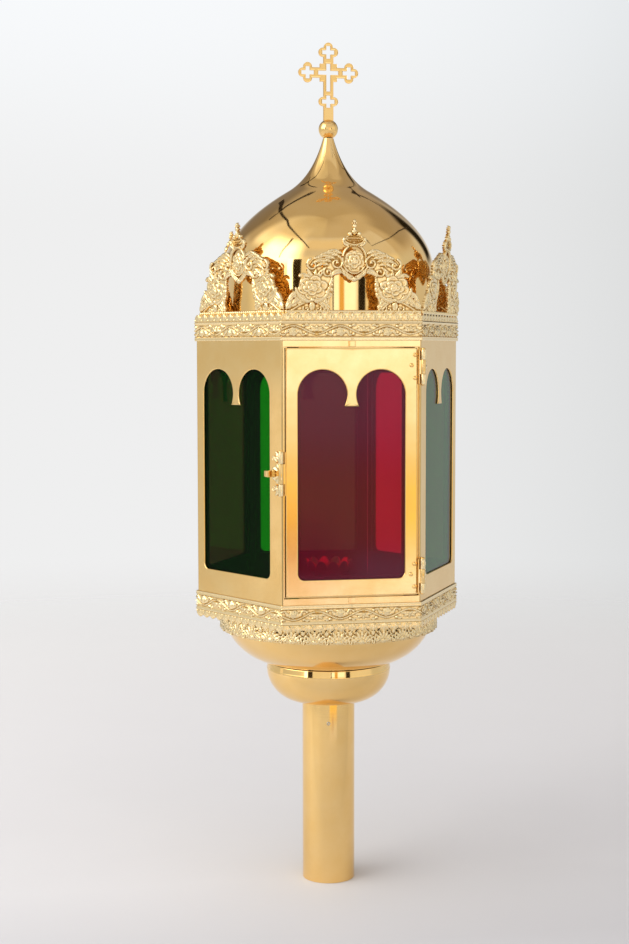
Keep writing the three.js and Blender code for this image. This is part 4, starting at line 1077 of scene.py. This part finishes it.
def buildLace():
    b = lace
    width = 2 * math.pi * b["radius"] / b["repeats"]
    step = width / b["columns"]
    canvas = newCanvas(0, width - step, 0, b["tall"], step)
    u, v = canvas["u"], canvas["v"]
    # shallow scallops along the lower edge
    scallop = 0.7 - 0.6 * np.abs(np.sin(2 * np.pi * u / width)) ** 0.6
    layOver(canvas, np.minimum(v - scallop, b["tall"] - v + 0.1), 0.15 + 0 * u)
    for foot in (-width, 0, width):
        drawPalmette(canvas, foot + width / 2)
        drawLyre(canvas, foot, width)
    for foot in (-width, 0, width):
        for side in (-1, 1):
            cutTo(canvas, np.hypot(u - foot - width / 2 - side * 3.6, (v - 2.6) * 1.2) - 0.55)
            cutTo(canvas, np.hypot((u - foot - side * 2.6) * 1.2, v - 8.1) - 0.5)
    whole = {key: np.tile(canvas[key], (1, b["repeats"])) for key in ("v", "inside", "height")}
    whole["u"] = np.tile(np.arange(b["columns"] * b["repeats"]) * step, (len(v), 1))
    whole["step"] = step

    def place(along, up, lift):
        a, r = along / b["radius"], b["radius"] + lift
        return np.stack([r * np.sin(a), -r * np.cos(a), b["low"] + up], -1)

    points, faces, relief = platePoints(whole, place, b["wall"], True)
    addPiece("laceBandCasting", points, faces, platedCastBrass, "root", "cast_brass", "lace_band", 75, relief)
    print("lace band made,", len(faces), "faces")


buildLace()

# Hinges and hasp: a cast ornament on the side wall, a leaf inside the door, a pin through their knuckles
fitting = {
    "axisX": 56.328, "axisY": -97.563, "wallFace": 95.563, "corner": 55.0,
    "barrel": 2.0, "bore": 1.2, "pin": 0.9, "pinHead": 1.7, "reach": 12.2, "shell": 8.0, "step": 0.22,
    "rise": 0.75, "base": 0.75, "knuckleRelief": 0.85,
    "hinges": {"upper": 419.2, "lower": 255.2}, "hingeLength": 27.0, "hingeMiddle": 11.4,
    "haspLow": 333.7, "haspLength": 34.0, "haspMiddle": 16.0,
    # the door leaf: how far from the axis its leg and flap lie, and its thickness
    "leafLeg": 53.4, "leafEnd": 45.6, "leafBack": 92.963, "leafSheet": 0.8, "web": 0.38, "webFoot": 53.0,
    "rivetLine": 48.9, "rivetStagger": 1.4, "rivetHead": 1.7, "rivetRise": 0.9, "rivetTail": 92.063,
    "rivets": {"top": (1, 2.55), "middle": (-1, 1.65), "bottom": (1, 0.55)},
    "knob": 5.0, "knobFrom": 1.8, "knobReach": 7.0, "knobPlace": 9.0, "knobFace": 95.263, "neck": 1.4,
}


def drawOrnament(half, middle):
    # half a palmette beside the barrel, with curled leaves above and below it
    f = fitting
    canvas = newCanvas(-1.3, f["reach"] + 0.6, -half - 1.5, half + 1.5, f["step"])
    u, v, rise, base = canvas["u"], canvas["v"], f["rise"], f["base"]
    squeezed = u * f["shell"] / f["reach"]
    angle, radius = np.arctan2(v, squeezed), np.hypot(squeezed, v)
    ridge = np.cos(angle * 11)
    inside = np.minimum(f["shell"] * (0.97 + 0.05 * ridge) - radius, u + 1.3)
    fan = np.clip((radius - 3.0) / 2.0, 0, 1)
    layOver(canvas, inside, base + rise * pillow(inside, 1.2) * (0.6 + 0.4 * fan * ridge))
    strap = np.minimum(np.minimum(u + 1.3, 2.3 - u), half - 1.5 - np.abs(v))
    layOver(canvas, strap, base + 0.3 * pillow(strap, 0.6))
    leaves = (([(0.6, 6.8), (3.2, 9), (6.5, half - 5.5), (9.4, half - 3.6)], 14, 4.2, 4),
              ([(0.8, 8), (3.5, half - 4), (4.8, half - 1.5), (6.8, half + 0.2)], 14, 4.4, 4),
              ([(0.4, 9), (0.9, half - 3), (1.6, half - 1), (2.2, half + 1.2)], 12, 3.4, 3))
    for way in (-1, 1):
        for path, steps, width, lobes in leaves:
            curve = bezier([(x, way * y) for x, y in path], steps)
            drawLeaf(canvas, rise, curve, width, lobes, 0.35, base)
        drawDisc(canvas, rise, 5.2, way * (half - 5.0), 1.3, 0.8)
        drawScroll(canvas, rise, 8.8, way * (half - 5.4), 1.9, 1.1, 90 * way, 1.0, -way, base)
        cutTo(canvas, np.hypot((u - 3.8) / 1.7, (v - way * (f["shell"] + 0.7)) / 0.9) - 1)
    # room for the middle knuckle and its web
    cutTo(canvas, np.maximum(u - 1.3, np.abs(v) - middle / 2 - 0.3))
    return canvas


def ornamentPlate(low, length, middle, side, hand):
    # the ornament laid on its wall, its drawing reversed at the left edge of the door
    f = fitting
    canvas = drawOrnament(length / 2, middle)
    if hand < 0:
        canvas = {key: value if key == "step" else value[:, ::-1] for key, value in canvas.items()}
        canvas["u"] = -canvas["u"]

    def place(u, v, h):
        return onWall(u - hand * f["corner"], f["wallFace"] + h, low + length / 2 + v, side)

    return platePoints(canvas, place, 0.0)


def tube(low, high, centre):
    # a knuckle: a bored cylinder with its edges taken off
    f = fitting
    profile = [[f["bore"], low], [f["barrel"], low], [f["barrel"], high], [f["bore"], high]]
    return turned(softCorners(profile, 0.25, 3), 40, centre)


def pinPoints(low, high, centre):
    # a pin with a button head over the upper knuckle
    pin, head = fitting["pin"], fitting["pinHead"]
    profile = [[0, low - 1], [pin - 0.2, low - 1], [pin, low - 0.8], [pin, high + 0.3], [head, high + 0.3],
               [head, high + 0.7], [head - 0.3, high + 1.2], [head - 0.9, high + 1.45], [0, high + 1.5]]
    return turnedSolid(profile, 32, centre)


def leafPoints(low, high, middleLow, middleHigh, hand):
    # the inside leaf: a flap behind the door, a leg through the gap and a web to the middle knuckle
    f = fitting
    x, y, thick, web = f["axisX"], f["axisY"], f["leafSheet"], f["web"]
    leg, end, back = f["leafLeg"], f["leafEnd"], -f["leafBack"]
    flap = [[leg, y - 0.4], [leg, back], [end, back], [end, back - thick], [leg - thick, back - thick],
            [leg - thick, y - 0.4]]
    arm = [[f["webFoot"], y - web], [x - 1.6, y - web], [x - 1.6, y + web], [f["webFoot"], y + web]]
    mirror = np.array([hand, 1])
    return mergeParts(prism(softCorners(flap * mirror, 0.2, 2), low, high),
                      prism(arm * mirror, middleLow + 0.3, middleHigh - 0.3, 0.05),
                      tube(middleLow + 0.15, middleHigh - 0.15, (x * hand, y)))


def rivetPoints(x, z):
    # the head is a quarter ellipse, squared up by the power 0.6
    f = fitting
    angle = np.linspace(0, np.pi / 2, 7)
    face, tail = f["wallFace"], f["rivetTail"]
    head = np.stack([f["rivetHead"] * np.cos(angle) ** 0.6, face + f["rivetRise"] * np.sin(angle)], 1)
    head[-1, 0] = 0
    shank = [[0, tail], [0.9, tail], [0.9, face], [1.5, face]]
    points, faces = turnedSolid(np.concatenate([shank, head]), 28)
    return towardsDoor(points, x, z), faces


def addHinge(piece, node, low, length, middle, side, castBody, pinBody):
    # a cast ornament with the outer knuckles, the door's leaf with the middle one, and the pin through them;
    # hand is 1 at the right edge of the door and -1 at its left edge
    f = fitting
    hand = 1 if side == "right" else -1
    high, middleLow = low + length, low + (length - middle) / 2
    middleHigh = middleLow + middle
    centre = (hand * f["axisX"], f["axisY"])
    points, faces, relief = ornamentPlate(low, length, middle, side, hand)
    points, faces = mergeParts((points, faces), tube(low, middleLow, centre), tube(middleHigh, high, centre))
    relief = np.append(relief, np.full(len(points) - len(relief), f["knuckleRelief"]))
    addPiece(piece + "Ornament", points, faces, platedCastBrass, castBody, "cast_brass",
             node + "_ornament", 60, relief)
    addPiece(piece + "Leaf", *leafPoints(low, high, middleLow, middleHigh, hand), platedSheetBrass, "door",
             "sheet_brass", node + "_door_leaf")
    addPiece(piece + "Pin", *pinPoints(low, high, centre), platedSpunBrass, pinBody, "sheet_brass",
             node + "_pin", 50)


def buildHinges():
    f = fitting
    length = f["hingeLength"]
    for name, low in f["hinges"].items():
        addHinge(name + "Hinge", name + "_hinge", low, length, f["hingeMiddle"], "right", "root", "root")
        for place, (way, thirds) in f["rivets"].items():
            shape = rivetPoints(f["rivetLine"] + way * f["rivetStagger"], low + length / 3 * thirds)
            addPiece(name + "HingeRivet_" + place, *shape, platedSpunBrass, "door", "sheet_brass",
                     name + "_hinge_rivet_" + place, 50)


def buildHasp():
    # the hasp folds round the left corner and is pulled open by a square knob on a thin neck
    f = fitting
    addHinge("hasp", "hasp", f["haspLow"], f["haspLength"], f["haspMiddle"], "left", "hasp", "door")
    along, out, middle = f["corner"] - f["knobPlace"], f["knobFace"], f["haspLow"] + f["haspLength"] / 2

    def bar(width, start, end, radius):
        return softBox((along - width / 2, along + width / 2), (out + start, out + end),
                       (middle - width / 2, middle + width / 2), "left", radius)

    parts = mergeParts(bar(f["knob"], f["knobFrom"], f["knobFrom"] + f["knobReach"], 0.5),
                       bar(f["neck"], 0.3, f["knobFrom"] + 0.4, 0.2))
    addPiece("haspKnob", *parts, platedSheetBrass, "hasp", "sheet_brass", "hasp_knob")


buildHinges()
buildHasp()
print("hinges and hasp made")

# Cross: a flat casting with budded ends, pierced by small crosses; its rims are filed round
cross = {
    "foot": 630.8, "tall": 66.1, "half": 25.0, "bar": 4.15, "slot": 3.4, "drop": 24.3, "lobe": 3.7,
    "shoulder": 2.1, "lobeOut": 4.5, "stepHalf": 7.2, "lowerDrop": 23.3, "slotUp": 7.4, "slotDown": 15.2,
    "slotWide": 16.8, "budLong": 10.5, "budShort": 10.0, "thick": 2.0, "step": 0.32, "rimRound": 0.35,
}


def buildCross():
    c = cross
    canvas = newCanvas(-c["half"] - 0.6, c["half"] + 0.6, -0.4, c["tall"] + 0.6, c["step"])
    u, v = canvas["u"], canvas["v"]
    centre, lobe, half, slot = c["tall"] - c["drop"], c["lobe"], c["half"], c["slot"] / 2
    lower, bud = centre - c["lowerDrop"], lobe * c["shoulder"]

    def box(lowU, highU, lowV, highV):
        return np.minimum(np.minimum(u - lowU, highU - u), np.minimum(v - lowV, highV - v))

    def disc(x, z):
        return lobe - np.hypot(u - x, v - z)

    shapes = [box(-c["bar"], c["bar"], 0, c["tall"] - 2 * lobe),
              box(-half + 2 * lobe, half - 2 * lobe, centre - c["bar"], centre + c["bar"]),
              box(-c["stepHalf"], c["stepHalf"], centre - c["stepHalf"], centre + c["stepHalf"]),
              disc(c["lobeOut"], lower), disc(-c["lobeOut"], lower)]
    # three lobes at the end of each arm
    for x, z, dx, dz in ((0, c["tall"], 0, 1), (half, centre, 1, 0), (-half, centre, -1, 0)):
        shapes.append(disc(x - dx * lobe, z - dz * lobe))
        for out in (-c["lobeOut"], c["lobeOut"]):
            shapes.append(disc(x - dx * bud + dz * out, z - dz * bud + dx * out))
    # crosses cut into the middle, the ends and the lower lobes
    slots = [box(-c["slotWide"] / 2, c["slotWide"] / 2, centre - slot, centre + slot),
             box(-slot, slot, centre - c["slotDown"], centre + c["slotUp"])]
    long, short = c["budLong"] / 2, c["budShort"] / 2
    for x, z, wide, high in ((0, c["tall"] - bud, short, long), (half - bud, centre, long, short),
                             (bud - half, centre, long, short), (0, lower, long, short)):
        slots += [box(x - wide, x + wide, z - slot, z + slot), box(x - slot, x + slot, z - high, z + high)]
    inside = np.minimum(np.max(shapes, 0), -np.max(slots, 0))
    layOver(canvas, inside, c["rimRound"] * (pillow(inside, 0.6) - 1))

    def place(along, up, lift):
        return np.stack([along, -c["thick"] / 2 - lift, c["foot"] + up], -1)

    # the back is the front's mirror image
    points, faces, _ = platePoints(canvas, place, 0.0)
    count = len(points) // 2
    points[count:, 1] = -points[:count, 1]
    addPiece("finialCross_casting", points, faces, platedSpunBrass, "root", "sheet_brass", "finial_cross", 45)
    print("cross made,", len(faces), "faces")


buildCross()

# Candle holder: a spun cup with a cast gallery of petals round its rim
candle = {
    "low": 240.4, "top": 266.4, "foot": 17.0, "waist": 12.4, "rim": 15.5, "bore": 11.0, "boreDepth": 12.0,
    "nutRoom": 8.6, "nutDepth": 6.6, "rodBore": 4.3, "galleryLow": 260.4, "galleryTop": 271.4,
    "galleryFoot": 17.1, "galleryRim": 20.2, "galleryWall": 1.2, "petals": 12, "turns": 192, "steps": 18,
}


def buildCandleHolder():
    c = candle
    low, top, waist, floor = c["low"], c["top"], c["waist"], c["top"] - c["boreDepth"]
    profile = [[c["nutRoom"], low], [c["foot"], low], [c["foot"], low + 1.6], [c["foot"] - 2.6, low + 3.2],
               [waist + 0.4, low + 7], [waist, low + 11], [waist, low + 16], [waist + 1.5, low + 21],
               [c["rim"], top], [c["bore"], top], [c["bore"], floor], [c["rodBore"], floor],
               [c["rodBore"], low + c["nutDepth"]], [c["nutRoom"], low + c["nutDepth"]]]
    addPiece("candleCup", *turned(softCorners(profile, 1.2, 3), 96), platedSpunBrass, "root", "sheet_brass",
             "candle_cup", 50)
    # petals |cos(n a / 2)|^0.6: the wall flares as t^1.6, less far and less high between two petals
    a = np.linspace(0, 2 * np.pi, c["turns"], endpoint=False)
    t = np.linspace(0, 1, c["steps"])[:, None]
    petal = np.abs(np.cos(c["petals"] * a / 2)) ** 0.6
    rise = (c["galleryTop"] - c["galleryLow"]) * t * (0.45 + 0.55 * petal)
    reach = c["galleryFoot"] + (c["galleryRim"] - c["galleryFoot"]) * t ** 1.6 * (0.55 + 0.45 * petal)
    radius = np.concatenate([reach, reach[::-1] - c["galleryWall"]])
    height = c["galleryLow"] + np.concatenate([rise, rise[::-1]])
    points = np.stack([radius * np.sin(a), -radius * np.cos(a), height], -1).reshape(-1, 3)
    faces = gridFaces(2 * c["steps"], c["turns"], True, True)
    addPiece("candleGallery", points, faces, platedCastBrass, "root", "cast_brass", "candle_gallery", 60,
             np.full(len(points), 0.7))
    print("candle holder made")


buildCandleHolder()

# Floor, light and camera, in metres
studio = {
    "floor": "#e2e2e6", "floorRadii": (0.02, 0.3, 0.6, 1.0, 1.5, 2.2), "floorNear": 0.5, "mottle": 0.97,
    # the floor's painted light far off and painted shade to the right and in front; each between two places
    "floorLight": "#e9e9ec", "lightFrom": 0.35, "lightTo": 1.1,
    "floorRightShade": "#f3f3f4", "rightFrom": -0.3, "rightTo": 0.5,
    "floorNearShade": "#eeeeef", "nearFrom": 0.0, "nearTo": -0.16,
    # the backdrop: colours, the elevations that it changes between, and the azimuths of its right end,
    # darkened with painted shade
    "backTop": "#f8fafc", "backLow": "#efefef", "backRise": (4.0, 13.0),
    "backRightShade": "#edeeee", "backTurn": (158.0, 181.0), "backPower": 3.0,
    "lampSize": 3.0, "lampPlace": (-1.0, -0.4, 1.9), "lampPower": 27.0, "lampColour": "#f8faff",
    # the camera, solved from the corners of the case: lens and sensor in mm, turn in degrees
    "lens": 61.3, "sensor": 36, "cameraPlace": (-0.25814, -1.31443, 0.44597),
    "cameraTurn": (85.66, 0.06, -10.62),
}
# what the gold reflects, one row per patch laid over the one before: azimuth from and to (0 in front of the
# door, positive to the right), elevation from and to, softness of its edges in degrees, colour, brightness
surroundings = [
    (-180, 180, -90, -11, 4, "#f1ece6", 0.93),
    (-180, 180, -11, 30, 5, "#f1f2f2", 0.74),
    (-180, 180, 30, 90, 5, "#fff3e2", 0.5),
    (-80, 118, 24, 84, 8, "#fff6ec", 0.6),
    (-62, 75, 20, 60, 2.5, "#fbfaff", 0.74),
    (-62, 75, -4, 24, 5, "#f7f3ea", 0.98),
    (152, 209, -9, 7, 5, "#f4f6f8", 0.92),
    (150, 214, 14, 46, 7, "#fff0e0", 0.24),
    (-7, 19, -2.8, 6, 2.4, "#f0f4ff", 1.66),
    (-6, 26, -7.5, -3.9, 1.3, "#ffd860", 1.25),
    (4, 11.4, -9.0, -6.2, 0.9, "#ffab58", 0.64),
    (12.2, 26, -10.6, -7.3, 0.6, "#f4f6ff", 1.5),
    (-6, 26, -10.6, -8.2, 0.4, "#ece8ff", 1.8),
    (-134, -20, 60, 86, 8, "#fff8ec", 0.68),
    (-130, -50, 42, 68, 9, "#fff8ec", 0.88),
    (90, 160, 31, 62, 7, "#fff2e4", 0.4),
    (-42, 18, 38, 56, 5, "#fff6e8", 0.84),
    (-100, -48, 8, 48, 12, "#fffdf6", 3.4),
    (-126, -100, 34, 50, 8, "#fffdf6", 1.3),
    (0.4, 5.8, -3, 13, 1.0, "#ffce74", 0.85),
    (-6.7, -5.3, -3, 13, 0.3, "#3a3226", 0.35),
    (-111.8, -104, -9, -1.2, 0.8, "#fdf6ee", 0.98),
    (21, 29, -2, 14, 0.6, "#4a4034", 0.3),
    (-56, -49.6, -2, 20, 0.6, "#ffffff", 3.2),
    (-49.6, -40.2, -2, 19, 0.6, "#4a3c28", 0.45),
    (130, 147, 8, 36, 4, "#4a4434", 0.25),
]
# dark seams of the light tent over the lantern, which show on the dome as thin broken lines; in metres, seen
# from above
seams = {
    "height": 2.4, "widths": (0.12, 0.1, 0.065, 0.08, 0.06, 0.06), "cloth": "#2a2018", "clothDeep": "#181210",
    "lines": [
        [(-0.17, 1.29), (-0.10, 1.24), (-0.17, 1.32), (-0.42, 1.43), (-0.60, 1.50), (-0.74, 1.43)],
        [(-0.45, 2.74), (-0.56, 2.08), (-0.65, 1.77), (-0.74, 1.43), (-0.89, 1.50), (-1.05, 1.52)],
        [(-0.75, 1.37), (-0.81, 0.95), (-0.84, 0.56), (-0.94, 0.27), (-1.04, -0.37), (-1.14, -1.07),
         (-1.30, -1.86)],
        [(-1.29, -0.55), (-1.82, -0.83), (-2.49, -1.05), (-4.66, -1.95)],
        [(0.96, 1.41), (0.93, 1.76), (0.89, 1.54), (0.79, 1.36), (0.94, 1.52), (1.20, 1.80), (1.42, 1.97),
         (1.60, 1.95), (1.82, 2.11), (2.42, 3.24), (2.93, 3.81)],
        [(2.45, 2.54), (2.07, 0.86), (1.95, -0.22), (1.59, -1.54), (1.16, -1.11), (1.00, -0.99)],
    ],
}


def addStage(name, points, faces, material):
    # a thing of the set, not of the lantern; points in metres
    mesh = bpy.data.meshes.new(name)
    mesh.from_pydata(points.tolist(), [], faces)
    mesh.materials.append(material)
    item = bpy.data.objects.new(name, mesh)
    bpy.context.scene.collection.objects.link(item)
    return item


def floorMaterial():
    # matt paint with a faint mottle, and painted light and shade; its opacity falls from 1 to 0, so that it
    # runs out into the background
    s = studio
    material, tree, place = newMaterial("paintedFloor")
    reach = addNode(tree, "VectorMath", {"operation": "LENGTH"}, i0=place)
    fade = addNode(tree, "MapRange", smoothStep, i0=reach, i1=s["floorNear"], i2=s["floorRadii"][-1],
                   i3=1.0, i4=0.0)
    mottle = addNode(tree, "TexNoise", Vector=place, Scale=9.0, Detail=2.0)
    tone = addNode(tree, "Mix", colourMix, i0=mottle, i6=toLinear(s["floor"]),
                   i7=toLinear(s["floor"], s["mottle"]))
    # painted light far off, where the lamp is weaker; painted shade in front of the lantern and to its right
    parts = addNode(tree, "SeparateXYZ", i0=place)
    for value, key, code, blend in ((reach, "light", "floorLight", colourMix),
                                    (parts.outputs["X"], "right", "floorRightShade", colourProduct),
                                    (parts.outputs["Y"], "near", "floorNearShade", colourProduct)):
        amount = addNode(tree, "MapRange", i0=value, i1=s[key + "From"], i2=s[key + "To"])
        tone = addNode(tree, "Mix", blend, i0=amount, i6=tone, i7=toLinear(s[code]))
    addSurface(tree, Base_Color=tone, Alpha=fade, Roughness=0.6, Specular_IOR_Level=0.15)
    return material


def buildFloor():
    a = np.linspace(0, 2 * np.pi, 96, endpoint=False)
    radii = np.array(studio["floorRadii"])[:, None]
    points = np.stack([radii * np.cos(a), radii * np.sin(a), 0 * radii * a], -1).reshape(-1, 3)
    rings = [face[::-1] for face in gridFaces(len(radii), len(a), False, True)]
    addStage("studioFloor", points, rings + [list(range(len(a)))], floorMaterial())


def backdropColour(tree, elevation, behind):
    # seen by the camera and through the glass: painted light at the top and painted shade to the right
    s = studio
    up = addNode(tree, "MapRange", smoothStep, i0=elevation, i1=s["backRise"][0], i2=s["backRise"][1])
    back = addNode(tree, "Mix", colourMix, i0=up, i6=toLinear(s["backLow"]), i7=toLinear(s["backTop"]))
    right = addNode(tree, "MapRange", i0=behind, i1=s["backTurn"][0], i2=s["backTurn"][1], i3=1.0, i4=0.0)
    edge = addNode(tree, "Math", {"operation": "POWER"}, i0=right, i1=s["backPower"])
    return addNode(tree, "Mix", colourProduct, i0=edge, i6=back, i7=toLinear(s["backRightShade"]))


def buildWorld():
    world = bpy.data.worlds.new("studioWorld")
    bpy.context.scene.world = world
    world.use_nodes = True
    tree = world.node_tree
    tree.nodes.clear()

    def calculate(operation, first, second=0.0):
        return addNode(tree, "Math", {"operation": operation}, i0=first, i1=second)

    def step(value, edge, soft, low, high):
        return addNode(tree, "MapRange", smoothStep, i0=value, i1=edge - soft, i2=edge + soft, i3=low,
                       i4=high)

    # in degrees: azimuth from -180 to 180, the same from 0 to 360 for patches behind the lantern, elevation
    parts = addNode(tree, "SeparateXYZ", i0=addNode(tree, "TexCoord").outputs["Generated"])
    turn = calculate("ARCTAN2", parts.outputs["X"], calculate("MULTIPLY", parts.outputs["Y"], -1.0))
    azimuth = calculate("MULTIPLY", turn, 180 / math.pi)
    behind = calculate("MODULO", calculate("ADD", azimuth, 360.0), 360.0)
    elevation = calculate("MULTIPLY", calculate("ARCSINE", parts.outputs["Z"]), 180 / math.pi)

    light = toLinear(surroundings[0][5], surroundings[0][6])
    for fromAz, toAz, low, high, soft, code, bright in surroundings[1:]:
        edges = [step(elevation, low, soft, 0.0, 1.0)]
        if high < 90:
            edges.append(step(elevation, high, soft, 1.0, 0.0))
        if toAz - fromAz < 360:
            around = behind if toAz > 180 else azimuth
            edges += [step(around, fromAz, soft, 0.0, 1.0), step(around, toAz, soft, 1.0, 0.0)]
        amount = edges[0]
        for edge in edges[1:]:
            amount = calculate("MULTIPLY", amount, edge)
        light = addNode(tree, "Mix", colourMix, i0=amount, i6=light, i7=toLinear(code, bright))
    ray = addNode(tree, "LightPath")
    seen = calculate("MAXIMUM", ray.outputs["Is Camera Ray"], ray.outputs["Is Transmission Ray"])
    choice = addNode(tree, "Mix", colourMix, i0=seen, i6=light, i7=backdropColour(tree, elevation, behind))
    addNode(tree, "OutputWorld", Surface=addNode(tree, "Background", Color=choice, Strength=1.0))


def seamMaterial():
    # dark woven tape, so matt that only its shape shows
    material, tree, place = newMaterial("tentSeam")
    weave = addNode(tree, "TexNoise", Vector=place, Scale=40.0, Detail=2.0)
    tone = addNode(tree, "Mix", colourMix, i0=weave, i6=toLinear(seams["cloth"]),
                   i7=toLinear(seams["clothDeep"]))
    addSurface(tree, Base_Color=tone, Roughness=0.9)
    return material


def buildSeams():
    # each line becomes a ribbon, its points moved by half the width to both sides; only the metal sees it
    material = seamMaterial()
    for k, (line, width) in enumerate(zip(seams["lines"], seams["widths"])):
        aside = width / 2 * leftNormals(line)
        flat = np.concatenate([line + aside, line - aside])
        points = np.column_stack([flat, np.full(len(flat), seams["height"])])
        ribbon = addStage("tentSeam%d" % k, points, gridFaces(2, len(line)), material)
        ribbon.visible_camera = ribbon.visible_diffuse = False
        ribbon.visible_shadow = ribbon.visible_transmission = False


def buildCamera():
    scene, s = bpy.context.scene, studio
    camera = bpy.data.cameras.new("camera")
    camera.lens = s["lens"]
    camera.sensor_width = s["sensor"]
    camera.clip_start = 0.01
    holder = bpy.data.objects.new("camera", camera)
    holder.location = s["cameraPlace"]
    holder.rotation_euler = [math.radians(angle) for angle in s["cameraTurn"]]
    scene.collection.objects.link(holder)
    scene.camera = holder
    scene.view_settings.view_transform = "Standard"


def buildLamp():
    # a wide soft lamp over the lantern; the metal and the camera don't see it
    lamp = bpy.data.lights.new("overheadLamp", "AREA")
    lamp.shape = "SQUARE"
    lamp.size = studio["lampSize"]
    lamp.energy = studio["lampPower"]
    lamp.color = toLinear(studio["lampColour"])[:3]
    holder = bpy.data.objects.new("overheadLamp", lamp)
    holder.location = studio["lampPlace"]
    holder.visible_glossy = holder.visible_camera = holder.visible_transmission = False
    bpy.context.scene.collection.objects.link(holder)


buildFloor()
buildWorld()
buildLamp()
buildSeams()
buildCamera()
print("studio made")

# CAD nodes carried over get their finish by material slot; three kinds of node have one of their own
finishOf = {"sheet_brass": platedSheetBrass, "spun_brass": platedSpunBrass, "cast_brass": platedCastBrass,
            "steel": turnedSteel, "red_glass": rubyGlass, "green_glass": emeraldGlass}
slotOf = {part["node"]: part["material_slot"] for part in frame["record"]["subparts"]}
for name, node in frame["nodes"].items():
    finish = finishOf.get(slotOf.get(name), platedSheetBrass)
    # the glass frames and the floor plate get the painted inside shade: dull dark brown
    if name.endswith("glass_frame") or name == "floor_plate":
        finish = shadedInsideBrass
    if name == "left_glass":
        finish = emeraldGlassBloomed
    node.data.materials.clear()
    node.data.materials.append(finish)

bpy.context.view_layer.update()
